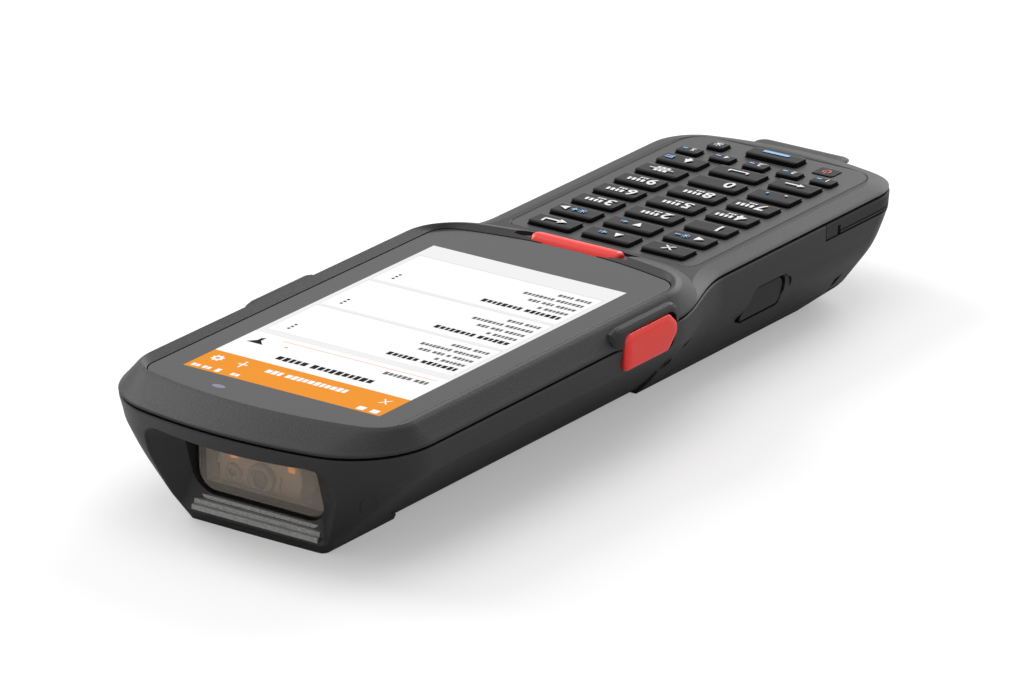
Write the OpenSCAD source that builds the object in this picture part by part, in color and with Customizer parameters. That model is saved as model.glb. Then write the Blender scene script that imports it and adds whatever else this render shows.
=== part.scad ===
// Portable barcode data terminal: scanner nose, touch display, keypad handle.
// Origin: centre of the footprint on the plane that it rests on. +Y is the scanner end, +Z the display side.

/* [Case plan] */
// Nose ahead of the cover glass, on the centre line
nose_l = 9; // [8.6:0.1:10]
// Length over which the display part narrows to the handle
neck_l = 28.5; // [27:0.5:30]
// Case behind the keypad frame, up to the tail tab
tail_l = 6.15; // [5.9:0.05:7]
// Length of the tail tab
tab_l = 2.6; // [2:0.1:3]
// Width of the tail tab
tab_w = 24; // [20:0.5:26]
// Case on each side of the cover glass, at the seam
display_side = 7.1; // [6.9:0.1:7.6]
// Case on each side of the keypad frame, at the seam
handle_side = 6.3; // [6.2:0.1:6.9]
// Corner radius of the nose in plan
nose_r = 15; // [13:0.5:16]
// Corner radius of the tail in plan
tail_r = 11; // [10:0.5:13]
// Wall thickness of both shells
wall = 2; // [1.8:0.1:2.2]

/* [Case heights] */
// Height of the seam between the shells
seam_z = 25.5; // [25:0.1:27]
// Keypad deck above the seam
deck_rise = 1.7; // [1.6:0.1:1.9]
// Top of the raised display frame above the keypad deck
frame_rise = 3.2; // [3:0.1:3.4]
// Height of the upright side wall below the seam
side_wall_h = 6.1; // [5.6:0.1:6.5]
// Height of the band below it, where the grip starts to turn under
grip_h = 5; // [4.5:0.1:5.5]
// Height of the battery cover's split line
split_z = 5; // [4.7:0.1:5.4]
// Height of the recessed underside between the nose and the handle
belly_z = 1.5; // [1:0.1:1.8]
// Gap between the two shells at the seam
seam_gap = 0.3; // [0.2:0.05:0.4]

/* [Display] */
// Display module width
module_w = 56; // [52:0.5:60]
// Display module length
module_l = 94; // [86:0.5:102]
// Cover glass beyond the module on each side
glass_side = 3.8; // [3.7:0.1:4.4]
// Cover glass beyond both ends of the module together, on the centre line
glass_ends = 17.9; // [17.6:0.1:20]
// Cover glass thickness
glass_t = 1.6; // [1.4:0.1:1.7]
// Depth of the glass below the top of the frame
lip_h = 1; // [0.9:0.1:1.2]
// Middle of the screen ahead of the middle of the glass
screen_set = 1.7; // [1:0.1:2]
// Display module thickness
module_t = 2.6; // [2.4:0.1:2.8]
// Chassis plate thickness
chassis_t = 0.8; // [0.6:0.1:1]
// Space between the chassis plate and the main board
board_gap = 1.8; // [1.6:0.1:2]
// Main board and keypad board thickness
board_t = 1.2; // [1:0.1:1.3]
// Width of a shield can
can_w = 22; // [20:0.5:26]
// Length of a shield can
can_d = 24; // [20:0.5:25]
// Height of a shield can
can_h = 1.6; // [1.4:0.1:2]

/* [Keypad] */
// Key pitch along Y
key_pitch = 8; // [7.6:0.05:8.6]
// Key depth along Y
key_d = 5.7; // [5.4:0.1:5.9]
// Key width, outer columns
side_key_w = 11.4; // [11:0.1:12]
// Key width, middle column
mid_key_w = 13; // [12.4:0.1:14]
// Space between the columns
column_gap = 3.1; // [2.9:0.1:3.4]
// Frame outside the keys, on each side
key_margin = 4; // [3.6:0.1:4.4]
// Height of the main keys above the deck
key_h = 1.1; // [0.9:0.1:1.4]
// Height of the function keys above the deck
small_key_h = 0.9; // [0.8:0.1:1.2]
// Height of the power key above the deck
power_key_h = 0.2; // [0.1:0.05:0.4]
// Width of a function key
f_key_w = 5.8; // [5.4:0.1:6.2]
// Depth of a function key
f_key_d = 3.8; // [3.5:0.1:4]
// Space between function keys
f_gap = 3.35; // [3:0.05:3.5]
// Key travel
key_travel = 0.4; // [0.2:0.05:0.45]
// Clearance between a key and its opening
key_gap = 0.2; // [0.15:0.05:0.25]
// Thickness of the keypad frame plate
deck_t = 1.5; // [1.4:0.1:1.6]

/* [Scan keys] */
// Length of the red bar key along X
bar_l = 23.4; // [22:0.2:24]
// Depth of the red bar key along Y
bar_d = 4.6; // [4.3:0.1:4.8]
// Middle of the red bar key behind the cover glass
bar_set = 2.65; // [2.6:0.05:3]
// First key row behind the red bar key, middle to middle
keypad_set = 13; // [12.8:0.1:14]
// Length of a side key along Y
side_l = 18.6; // [17.6:0.2:19]
// Height of a side key
side_h = 8.4; // [8:0.1:8.6]
// Middle of the left scan key behind the middle of the screen
left_set = 33.5; // [32:0.5:34]
// Middle of the right key behind the middle of the screen
right_set = 4.5; // [3:0.5:6]
// Travel of a side key
side_travel = 0.6; // [0.4:0.05:0.7]
// How far a side key stands out of the case
side_proud = 1.1; // [0.9:0.1:1.3]

/* [Scanner] */
// Scan window width
window_w = 34; // [33:0.2:35]
// Scan window height
window_h = 12.6; // [12:0.1:12.8]
// Scan window thickness
window_t = 1.2; // [1:0.1:1.4]
// Outer face of the scan window behind the front of the nose
window_set = 13.25; // [12.8:0.05:13.6]
// Scan engine width
engine_w = 21.6; // [20:0.2:23]
// Scan engine height
engine_h = 11.6; // [11:0.1:12.4]
// Scan engine depth
engine_d = 12; // [11:0.2:13]
// X of the middle of the scan engine
engine_x = 4.6; // [3:0.2:5]
// Radius of the scan lens
lens_r = 2.8; // [2.4:0.1:3]
// Radius of the aimer
aimer_r = 1.8; // [1.4:0.1:1.9]
// Thickness of the engine bracket
bracket_t = 0.8; // [0.6:0.1:0.9]

/* [Battery and port] */
// Case on each side of the battery, at the seam
battery_side = 13.3; // [13.1:0.1:14]
// Battery length
battery_l = 50; // [46:0.5:52]
// Battery thickness
battery_t = 11; // [10:0.1:11.5]
// Length of the contact springs
contact_l = 2; // [1.6:0.1:2.2]
// Travel of the battery latch towards the tail
latch_travel = 2.5; // [2:0.1:3]
// Length of the port flap along Y
flap_l = 18; // [17.6:0.2:18.6]
// Height of the port flap
flap_h = 5.8; // [5.7:0.05:6]
// Thickness of the port flap
flap_t = 1.2; // [1.1:0.05:1.3]
// Middle of the port flap behind the first key row
flap_set = 13.9; // [13.5:0.1:15]
// Depth of the port behind its flap
port_depth = 4.3; // [4.2:0.1:4.6]
// Width of the port connector
port_w = 12; // [10:0.2:12.6]
// Height of the port connector
port_h = 4.4; // [4.2:0.1:4.6]

/* [Sound and vibration] */
// Speaker length along X
speaker_w = 20; // [18:0.5:21]
// Speaker length along Y
speaker_d = 14; // [12:0.5:15]
// Speaker thickness
speaker_t = 4; // [3:0.1:4.4]
// Vibration motor radius
motor_r = 5; // [4:0.1:5.4]
// Vibration motor thickness
motor_t = 3; // [2.6:0.1:3.4]

/* [Screws] */
// Screw shank radius
screw_r = 1; // [0.8:0.05:1.05]
// Screw head radius
screw_head_r = 1.7; // [1.5:0.05:1.75]
// Screw head height
screw_head_h = 1.2; // [1:0.1:1.2]
// Screw shank length under the head
screw_l = 9; // [8:0.1:9.2]

/* [Hidden] */
$fn = 48;
bow_steps = 5;
corner_steps = 7;
neck_steps = 7;
fit = 0.15;
soft_gap = 0.3;
hair = 0.1;
past = 20;

// Widths, from the keys and the display module outwards
glass_w = module_w + 2 * glass_side;
column_x = (mid_key_w + side_key_w) / 2 + column_gap;
pad_w = 2 * column_x + side_key_w + 2 * key_margin;
handle_w = pad_w + 2 * handle_side;
display_w = glass_w + 2 * display_side;
battery_w = handle_w - 2 * battery_side;
half_d = display_w / 2;
half_h = handle_w / 2;
inner_w = display_w - 14.6;

// Places along Y, from the nose to the tail. Each key group follows the one before it.
row_count = 7;
f_row_set = (key_d + f_key_d) / 2 + 1.85;
last_row_set = 7.2;
last_row_d = 4.6;
pad_front_margin = 4.9;
pad_back_margin = 4.4;
glass_l = module_l + glass_ends;
case_l = nose_l + glass_l + bar_set + keypad_set + (row_count - 1) * key_pitch + f_row_set
    + last_row_set + pad_back_margin + tail_l + tab_l;
half_l = case_l / 2;
glass_front = half_l - nose_l;
glass_back = glass_front - glass_l;
screen_y = glass_back + glass_l / 2 + screen_set;
bar_y = glass_back - bar_set;
row_1_y = bar_y - keypad_set;
f_row_y = row_1_y - (row_count - 1) * key_pitch - f_row_set;
last_row_y = f_row_y - last_row_set;
pad_front = row_1_y + pad_front_margin;
pad_back = last_row_y - pad_back_margin;
tail_y = -half_l + tab_l;
neck_front = glass_back + neck_l / 2;
neck_back = neck_front - neck_l;
left_y = screen_y - left_set;
right_y = screen_y - right_set;
window_y = half_l - window_set;
engine_front = window_y - 5;
hood_back = window_y - 3.2;
flap_y = row_1_y - flap_set;

// Heights, from the seam down and up
deck_z = seam_z + deck_rise;
case_h = deck_z + frame_rise;
crease_z = seam_z - side_wall_h;
grip_z = crease_z - grip_h;
shell_z = seam_z + seam_gap / 2;
rim_z = seam_z - seam_gap / 2;
side_z = seam_z - 1.3;
window_z = seam_z - 12.9;
flap_z = crease_z - 4.2;

// Rings at each level of the case: [half_front, half_back, nose_y, tail_y, nose_bow, nose_r, tail_r]
nose_bow = 0.004;
tail_bow = 0.006;
nose_slope = 0.4157;
nose_tilt = atan(nose_slope);
foot_drop = (seam_z - 1) / cos(nose_tilt);
band_h = 0.75;
foot_half = half_h - battery_side;
sole_ring = [foot_half, foot_half, half_l - nose_slope * seam_z, tail_y + 21, 0.0005, 4, 6];
split_ring = [half_d - 15.7, half_h - 7.3, half_l - nose_slope * (seam_z - split_z), tail_y + 11, 0.001, 6, 8];
grip_ring = [half_d - 5.9, half_h - 0.8, half_l - nose_slope * (seam_z - grip_z), tail_y + 4,
    0.003, nose_r - 4, tail_r];
crease_ring = [half_d - 0.7, half_h - 0.2, half_l - nose_slope * (seam_z - crease_z), tail_y + 0.7,
    nose_bow, nose_r - 1, tail_r];
seam_ring = [half_d, half_h, half_l, tail_y, nose_bow, nose_r, tail_r];
levels = [0, split_z, grip_z, crease_z, rim_z];

// Display stack and boards, from the glass down
glass_z = case_h - lip_h;
glass_low = glass_z - glass_t;
glass_r = 5;
glass_bow = 0.0045;
module_low = glass_low - module_t;
chassis_low = module_low - chassis_t;
chassis_l = module_l + 6;
board_high = chassis_low - board_gap;
board_low = board_high - board_t;
ledge_z = glass_low - 1.3;
post_r = 2.2;
chassis_post_x = inner_w / 2 - 1.6;
chassis_post_y = [screen_y - module_l / 2 + 0.5, screen_y + 9.5, screen_y + module_l / 2 - 5.5];

// Keypad stack, from the deck down
plate_low = deck_z - deck_t;
flange_low = plate_low - 0.7;
flange_over = 0.6;
mat_t = 0.8;
mat_high = flange_low - key_travel - soft_gap;
mat_low = mat_high - mat_t;
dome_t = 0.3;
dome_r = 2.2;
pad_board_high = mat_low - dome_t;
pad_board_low = pad_board_high - board_t;
pad_board_front = bar_y + 3.8;
ring_in = 1.2;
ledge_w = 1.2;
ledge_low = plate_low - 0.8;
f_pitch = f_key_w + f_gap;
// Keys: [name, x, y, width, depth, height above the deck]
keys = concat(
    [for (k = [["key_enter", 1], ["key_up", 0], ["key_escape", -1]]) main_key(k, 0)],
    [for (k = [["key_right", 1], ["key_down", 0], ["key_left", -1]]) main_key(k, 1)],
    [for (k = [["key_3", 1], ["key_2", 0], ["key_1", -1]]) main_key(k, 2)],
    [for (k = [["key_6", 1], ["key_5", 0], ["key_4", -1]]) main_key(k, 3)],
    [for (k = [["key_9", 1], ["key_8", 0], ["key_7", -1]]) main_key(k, 4)],
    [for (k = [["key_language", 1], ["key_0", 0], ["key_dot", -1]]) main_key(k, 5)],
    [for (k = [["key_shift", 1], ["key_space", 0], ["key_backspace", -1]]) main_key(k, 6)],
    [for (i = [1:5]) [str("key_f", i), (i - 3) * f_pitch - 0.2, f_row_y, f_key_w, f_key_d, small_key_h]],
    [["key_backlight", column_x - 0.7, last_row_y + 0.9, 4.4, 4, small_key_h],
     ["key_wide", -0.5, last_row_y, mid_key_w + 1, last_row_d, small_key_h + 0.3],
     ["key_power", -column_x + 0.5, last_row_y + 0.6, 5.4, 4.4, power_key_h]]);
function main_key(k, row) =
    [k[0], k[1] * column_x, row_1_y - row * key_pitch, k[1] == 0 ? mid_key_w : side_key_w, key_d, key_h];

// Side keys, their pockets and switches
side_depth = 2.7;
side_gap = 0.25;
pocket_x = half_d - side_depth - side_travel - 0.4;
stem_l = 1;
stem_end = half_d - side_depth - stem_l - side_travel - soft_gap;
switch_z = board_low + 0.6;

// Surround of the bar key
surround_front = glass_back - soft_gap;
surround_back = bar_y - bar_d / 2 - 3.5;
surround_t = 1.2;
surround_half = bar_l / 2 + 3.3;

// Scan engine
bracket_low = wall + 0.6;
engine_z = bracket_low + bracket_t + engine_h / 2;

// Underside: the recess between nose and handle, the battery bay, the latch
belly_front = engine_front - engine_d - 4;
cover_front = neck_back + 10;
belly_back = cover_front + 4.5;
bay_wall = 1.2;
bay_gap = 0.4;
bay_front = cover_front - 2.6;
bay_back = bay_front - battery_l - contact_l;
cover_back = bay_back;
battery_low = wall + 1;
bay_top = battery_low + battery_t + soft_gap;
bay_half = battery_w / 2 + bay_gap;
latch_z = split_z + bay_wall;
guide_l = 6;
guide_w = 8;

// Port flap and tail bumper
flap_x = half_h - 0.75;
flap_r = 1.6;
bead_r = flap_t / 2 - 0.05;
bead_y = flap_y + flap_l / 2 - bead_r;
port_x = -flap_x + flap_t + port_depth;
bumper_t = 1.6;
bumper_low = seam_z - 3.6;
bumper_l = 35.15;
bumper_front = tail_y + bumper_l;
thick_side = 3.5;
speaker_y = screen_y - 12.5;
slot_pitch = speaker_w / 8;
motor_y = screen_y + 13.5;

// Case screws: [x, y, height of the head's seat]
handle_screw_z = deck_z - screw_l - 1.2;
boss_r = screw_head_r + 0.7;
case_screws = [[half_d - 8.9, half_l - 10.5, crease_z],
    [half_d - 10.9, glass_back + 4.15, handle_screw_z],
    [pad_w / 2 + 2, (row_1_y + pad_back) / 2 + 5.9, handle_screw_z],
    [pad_w / 2 + 2, pad_back + 9, handle_screw_z]];

// ---- Rings and lofts ----

// Half of a bowed end with a rounded corner, from x = 0 out to the side
function bowed_end(half_w, end_y, bow, r) =
    let (corner_x = half_w - r,
         join_x = corner_x / (1 - 2 * bow * r),
         start_a = acos(2 * bow * join_x),
         corner_y = end_y - bow * join_x * join_x - r * sin(start_a))
    concat(
        [for (i = [0:bow_steps]) let (x = join_x * i / bow_steps) [x, end_y - bow * x * x]],
        [for (i = [1:corner_steps]) let (a = start_a * (1 - i / corner_steps))
            [corner_x + r * cos(a), corner_y + r * sin(a)]]);

// The same end at the tail, from the side in to x = 0
function bowed_tail(half_w, end_y, bow, r) =
    let (half = bowed_end(half_w, -end_y, bow, r))
    [for (i = [len(half) - 1:-1:0]) [half[i][0], -half[i][1]]];

// S-shaped neck from the display part's side to the handle's side
function neck(half_front, half_back) =
    [for (i = [0:neck_steps]) let (t = i / neck_steps)
        [half_front + (half_back - half_front) * (3 * t * t - 2 * t * t * t),
         neck_front + (neck_back - neck_front) * t]];

// Closes a half ring by mirroring it in x
function closed(half) =
    concat(half, [for (i = [len(half) - 2:-1:1]) [-half[i][0], half[i][1]]]);

// Ring of the whole case from [half_front, half_back, nose_y, tail_y, nose_bow, nose_r, tail_r]
function case_ring(s) =
    closed(concat(bowed_end(s[0], s[2], s[4], s[5]), neck(s[0], s[1]),
                  bowed_tail(s[1], s[3], tail_bow, s[6])));

// Ring of a plate with two bowed ends
function plate_ring(half_w, front_y, back_y, front_bow, back_bow, front_r, back_r) =
    closed(concat(bowed_end(half_w, front_y, front_bow, front_r),
                  bowed_tail(half_w, back_y, back_bow, back_r)));

// Case ring drawn in by a wall at the display part, the handle and the ends
function inset(s, front, back, ends) =
    [s[0] - front, s[1] - back, s[2] - ends, s[3] + ends, s[4], s[5] - front / 2, s[6] - back / 2];

// Solid through a stack of rings with equal point counts
module loft(rings, heights) {
    n = len(rings[0]);
    last = len(rings) - 1;
    polyhedron(
        points = [for (i = [0:last]) for (p = rings[i]) [p[0], p[1], heights[i]]],
        faces = concat(
            [[for (j = [n - 1:-1:0]) j]],
            [[for (j = [0:n - 1]) last * n + j]],
            [for (i = [0:last - 1]) for (j = [0:n - 1])
                [i * n + j, i * n + (j + 1) % n, (i + 1) * n + (j + 1) % n]],
            [for (i = [0:last - 1]) for (j = [0:n - 1])
                [i * n + j, (i + 1) * n + (j + 1) % n, (i + 1) * n + j]]));
}

// Plate of constant outline between two heights
module slab(ring, low_z, high_z) {
    translate([0, 0, low_z]) linear_extrude(high_z - low_z) polygon(ring);
}

// Box given by its low and high corners
module box(low, high) {
    translate(low) cube(high - low);
}

// Rounded rectangle centred on the origin
module rounded_rect(w, d, r) {
    square([w - 2 * r, d], center = true);
    square([w, d - 2 * r], center = true);
    for (sx = [-1, 1]) for (sy = [-1, 1])
        translate([sx * (w / 2 - r), sy * (d / 2 - r)]) circle(r);
}

// Rounded block whose outline lies in the YZ plane, between two x values
module side_block(low_x, high_x, y, z, l, h, r) {
    translate([low_x, y, z]) rotate([90, 0, 90]) linear_extrude(high_x - low_x) rounded_rect(l, h, r);
}

// Prism along X of an outline in the YZ plane
module along_x(half_w) {
    translate([-half_w, 0, 0]) rotate([90, 0, 90]) linear_extrude(2 * half_w) children();
}

// Copies of the children at x and at -x
module both_sides() {
    children();
    mirror([1, 0, 0]) children();
}

// ---- Rear housing ----

module rear_outer() {
    loft([for (s = [sole_ring, split_ring, grip_ring, crease_ring, seam_ring]) case_ring(s)], levels);
}

module rear_cavity() {
    side = thick_side;
    loft([case_ring(inset(sole_ring, wall * 0.2, wall * 0.2, wall)),
          case_ring(inset(split_ring, wall * 1.3, wall * 1.2, wall)),
          case_ring(inset(grip_ring, wall * 1.4, side - 0.3, side)),
          case_ring(inset(crease_ring, wall * 1.2, side, side)),
          case_ring(inset(seam_ring, wall, side, side))],
         [belly_z + wall, split_z + wall, grip_z, crease_z, rim_z + 1]);
}

// Recess from the nose face in to the scan window, flared at the face, grown by a margin
module tunnel(margin, back_y) {
    // Corners of the flare: [half width, depth behind the face, drop below the seam along the face, radius]
    rim = [[28.2, -0.5, 1.9, 4.5], [28, -0.5, 13, 3], [18.7, -0.5, foot_drop, 3.5],
           [window_w / 2 + 0.8, 6.5, 8.3, 2], [window_w / 2 + 0.2, 6.5, 21.7, 2]];
    intersection() {
        union() {
            translate([0, half_l, seam_z]) rotate([-nose_tilt, 0, 0]) hull() both_sides() for (c = rim)
                translate([c[0] - c[3], -c[1], c == rim[0] || c == rim[3] ? -c[2] - c[3] : -c[2] + c[3]])
                    rotate([90, 0, 0]) cylinder(r = c[3] + margin, h = 0.1, $fn = 32);
            box([-window_w / 2 - margin, back_y, window_z - window_h / 2 - margin],
                [window_w / 2 + margin, half_l, window_z + window_h / 2 + margin]);
        }
        box([-past * 2, back_y, -1], [past * 2, half_l + 1, rim_z - wall / 2]);
    }
}

// Everything inside the rear shell that is moulded with it
module rear_ribs() {
    box([-bay_half - bay_wall, bay_back - bay_wall, split_z + fit],
        [bay_half + bay_wall, bay_front + bay_wall, bay_top + bay_wall]);
    // Floor beside the battery bay, and over the latch
    box([-past * 2, bay_back - bay_wall, split_z + fit], [past * 2, cover_front + 2, split_z + fit + bay_wall]);
    box([-past * 2, -half_l, latch_z + fit], [past * 2, cover_back + wall, latch_z + fit + bay_wall]);
    both_sides() {
        for (y = chassis_post_y) translate([chassis_post_x, y, split_z])
            cylinder(r = post_r, h = board_low - split_z);
        for (p = case_screws) translate([p[0], p[1], split_z])
            cylinder(r = boss_r, h = (p[1] > glass_front - nose_l ? rim_z : pad_board_low) - split_z);
        for (y = [bay_front - 8, bay_back + 18]) translate([battery_w / 2 - 3, y, bay_top])
            cylinder(r = post_r, h = pad_board_low - bay_top);
    }
    // Seats of the speaker, the motor and the scan engine bracket
    both_sides() box([speaker_w / 2 + 0.2, speaker_y - speaker_d / 2 - 3, belly_z],
                     [speaker_w / 2 + bay_wall, speaker_y + speaker_d / 2 + 3, belly_z + wall + speaker_t - 1]);
    translate([0, motor_y, belly_z]) cylinder(r = motor_r + wall, h = wall + motor_t - 0.8);
    box([engine_x - engine_w / 2 + 1.8, engine_front - engine_d, wall - 1],
        [engine_x + engine_w / 2 - 1.8, engine_front - 2, bracket_low]);
    tunnel(wall, hood_back);
}

// Hollow below the recessed underside between the nose and the handle
module belly_cut() {
    step = 0.5;
    intersection() {
        along_x(past * 2 + 5) polygon([[belly_front + 10.5, crease_z], [belly_front, -1],
                                       [belly_back, -1], [belly_back + 8.9, crease_z]]);
        rotate([90, 0, 0]) translate([0, 0, -past * 6]) linear_extrude(past * 12) difference() {
            translate([-past * 2, -1]) square([past * 4, crease_z + 1]);
            polygon(belly_outline(step));
        }
    }
}
function belly_outline(step) =
    let (side = [[half_d - 0.7 - step, crease_z], [grip_ring[0] - step, grip_z],
                 [split_ring[0] - step, split_z], [foot_half, belly_z]])
    concat([[half_d - 0.7 - step, crease_z + 1]], side, [for (i = [3:-1:0]) [-side[i][0], side[i][1]]],
           [[-half_d + 0.7 + step, crease_z + 1]]);

module port_pocket() {
    side_block(-half_h - 1, -flap_x + flap_t, flap_y, flap_z, flap_l + 2 * soft_gap, flap_h + 2 * fit, flap_r + fit);
    // Square corners where the bead turns
    side_block(-half_h - 1, -flap_x + flap_t, bead_y - flap_r, flap_z, 2 * (flap_r + bead_r + soft_gap),
               flap_h + 2 * fit, 0.4);
    side_block(-flap_x, port_x, flap_y, flap_z, port_w + 2, port_h + 0.2, 1);
    // Nail notch at the flap's free end
    side_block(-half_h - 1, -flap_x + 0.6, flap_y - flap_l / 2 - 1, flap_z - 0.4, 4, flap_h - 0.6, 1.6);
}

module side_pockets() {
    for (k = [[-1, left_y], [1, right_y]]) mirror([k[0] < 0 ? 1 : 0, 0, 0])
        side_block(pocket_x, half_d + 5, k[1], side_z, side_l + 2 * side_gap, side_h + 2 * side_gap, 2.4);
}

// Space of the tail bumper: outside an inner ring, behind its front end
module bumper_space(grow) {
    depth = bumper_t + grow;
    difference() {
        box([-past * 2, -half_l - 1, bumper_low - grow], [past * 2, bumper_front + grow, seam_z]);
        loft([case_ring(inset(crease_ring, depth, depth, depth)), case_ring(inset(seam_ring, depth, depth, depth))],
             [bumper_low - 1, seam_z + 1]);
    }
}

module rear_housing() color([0.17, 0.17, 0.18]) {
    difference() {
        union() {
            difference() {
                rear_outer();
                rear_cavity();
                // Deeper floor under the scan engine
                box([-foot_half + 1, engine_front - engine_d - 2, wall],
                    [foot_half - 1, hood_back - bay_wall, belly_z + wall + hair]);
            }
            intersection() {
                rear_outer();
                rear_ribs();
            }
        }
        // Scan window opening and the flared recess before it
        tunnel(0, window_y);
        box([-window_w / 2 - fit, window_y - window_t, window_z - window_h / 2 - fit],
            [window_w / 2 + fit, window_y + 0.5, window_z + window_h / 2 + fit]);
        box([-window_w / 2 + 1.5, hood_back - 1, window_z - window_h / 2 + 1.5],
            [window_w / 2 - 1.5, window_y, window_z + window_h / 2 - 1.5]);
        belly_cut();
        // Battery bay, battery cover and latch
        box([-bay_half, bay_back, -1], [bay_half, bay_front, bay_top]);
        box([-past * 2, cover_back - 1, -1], [past * 2, cover_front + fit, split_z + fit]);
        box([-past * 2, -half_l - 1, -1], [past * 2, cover_back + fit, latch_z + fit]);
        latch_guide(fit, latch_travel);
        port_pocket();
        side_pockets();
        bumper_space(0.1);
        both_sides() {
            for (y = chassis_post_y) translate([chassis_post_x, y, module_low - screw_l - soft_gap])
                cylinder(r = screw_r + 0.05, h = past);
            for (p = case_screws) translate([p[0], p[1], -1]) {
                cylinder(r = screw_head_r + 0.3, h = p[2] + 1);
                cylinder(r = screw_r + 0.05, h = past * 2);
            }
            // Room for the front shell's bosses
            for (p = case_screws) if (p[1] < glass_front - nose_l)
                translate([p[0], p[1], pad_board_low]) cylinder(r = boss_r + fit, h = past);
        }
        // Room for the keypad frame's ledge
        slab(pad_ring(ledge_w + fit), ledge_low - fit, case_h);
        // Speaker slots through the belly
        for (i = [-3:3]) box([i * slot_pitch - slot_pitch / 4, speaker_y - speaker_d / 2 + 1, -1],
                             [i * slot_pitch + slot_pitch / 4, speaker_y + speaker_d / 2 - 1, belly_z + wall + hair]);
        translate([0, motor_y, belly_z + wall]) cylinder(r = motor_r + soft_gap, h = past);
    }
}

// ---- Front housing ----

module front_outer() {
    low = seam_ring;
    band = [half_d - 0.2, half_h - 0.1, half_l - 0.25, tail_y + 0.15, nose_bow, nose_r, tail_r];
    deck = [half_d - 1, half_h - 4.1, half_l - 1.8, tail_y + 4.2, nose_bow, nose_r - 1, tail_r - 3];
    loft([case_ring(low), case_ring(band), case_ring(deck)], [shell_z, shell_z + band_h, deck_z]);
    // Raised frame around the display
    loft([plate_ring(half_d - 0.25, half_l - 0.35, glass_back - 12.15, nose_bow, 0, nose_r, 27),
          plate_ring(half_d - 4, glass_front + 1.45, glass_back - 2.45, glass_bow, 0, 9, 12)],
         [shell_z + band_h, case_h]);
    // Tail tab
    box([-tab_w / 2, -half_l, shell_z], [tab_w / 2, tail_y + 3, shell_z + 1.2]);
    // Shrouds over the side keys
    shroud(-1, left_y + 0.6, side_l + 5);
    shroud(1, right_y, side_l + 6);
    // Ledge ring under the keypad frame, and the tail screw bosses
    slab(pad_ring(ledge_w), ledge_low, shell_z + hair);
    both_sides() for (p = case_screws) if (p[1] < glass_front - nose_l)
        translate([p[0], p[1], pad_board_low]) cylinder(r = boss_r, h = shell_z + hair - pad_board_low);
}

// Ridge that shields one side key from the display side
module shroud(sx, y, l) {
    high = case_h - 0.3;
    mirror([sx < 0 ? 1 : 0, 0, 0]) translate([0, y + l / 2, 0]) rotate([90, 0, 0]) linear_extrude(l)
        polygon([[half_d - 5, shell_z + 0.1], [half_d + 0.3, shell_z + 0.1], [half_d + 0.3, high - 3],
                 [half_d - 2.2, high], [half_d - 5, high]]);
}

function pad_ring(grow) =
    plate_ring(pad_w / 2 + grow, pad_front + grow, pad_back - grow, 0, 0, 2.5 + grow, 6 + grow);

module module_opening(grow) {
    translate([0, screen_y, 0]) linear_extrude(case_h + 1)
        square([module_w + grow, module_l + grow], center = true);
}

function glass_ring(grow) =
    plate_ring(glass_w / 2 + grow, glass_front + grow, glass_back - grow, glass_bow, glass_bow,
               glass_r + grow, glass_r + grow);

// Sloping face behind the raised frame, as a profile in the YZ plane
module slope_profile(drop) {
    polygon([[surround_front, glass_z + 0.3 - drop], [surround_back, deck_z - drop],
             [surround_back, case_h + 1], [surround_front, case_h + 1]]);
}

module surround_plan(grow) {
    front = surround_half + grow;
    back = surround_half - 2 + grow;
    polygon([[-front, surround_front + grow], [front, surround_front + grow],
             [back, surround_back - grow], [-back, surround_back - grow]]);
}

module front_housing() color([0.24, 0.24, 0.25]) {
    difference() {
        front_outer();
        // Pocket of the cover glass, opening of the display module, room for the boards
        slab(glass_ring(fit), glass_low, case_h + 1);
        module_opening(0.8);
        translate([0, screen_y, 0]) linear_extrude(ledge_z)
            square([inner_w + 1, chassis_l + 2], center = true);
        // Pocket of the keypad frame, and the opening through its ledge
        slab(pad_ring(0.1), plate_low, case_h);
        slab(pad_ring(-ring_in), 0, case_h);
        // Seat of the bar key's surround, and the bar's own opening
        intersection() {
            translate([0, 0, deck_z - 2]) linear_extrude(past) surround_plan(0.1);
            along_x(past) slope_profile(surround_t);
        }
        translate([0, bar_y, 0]) linear_extrude(case_h) rounded_rect(bar_l + 0.8, bar_d + 0.8, 2.2);
        translate([0, bar_y, 0]) linear_extrude(flange_low + 1.1) square([bar_l + 2.2, bar_d + 2.2], center = true);
        side_pockets();
        both_sides() for (p = case_screws) translate([p[0], p[1], 0])
            cylinder(r = screw_r + 0.05, h = p[2] + screw_l + 0.3);
    }
}

module housing_gasket() color([0.08, 0.08, 0.08]) {
    difference() {
        slab(case_ring(inset(seam_ring, 0.9, 0.9, 0.9)), rim_z, shell_z);
        slab(case_ring(inset(seam_ring, 1.7, 1.7, 1.7)), rim_z - 1, shell_z + 1);
        side_pockets();
    }
}

// ---- Display and boards ----

module display_glass() color([0.1, 0.1, 0.12]) {
    slab(glass_ring(0), glass_low, glass_z);
}

module display_module() color([0.75, 0.76, 0.78]) {
    translate([0, screen_y, module_low]) linear_extrude(module_t) square([module_w, module_l], center = true);
}

module display_chassis() color([0.7, 0.7, 0.72]) {
    difference() {
        union() {
            translate([0, screen_y, chassis_low]) linear_extrude(chassis_t)
                square([inner_w, chassis_l], center = true);
            both_sides() for (y = chassis_post_y) translate([chassis_post_x, y, board_high])
                cylinder(r = post_r, h = chassis_low - board_high);
        }
        both_sides() for (y = chassis_post_y) translate([chassis_post_x, y, 0])
            cylinder(r = screw_r + 0.05, h = case_h);
    }
}

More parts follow.
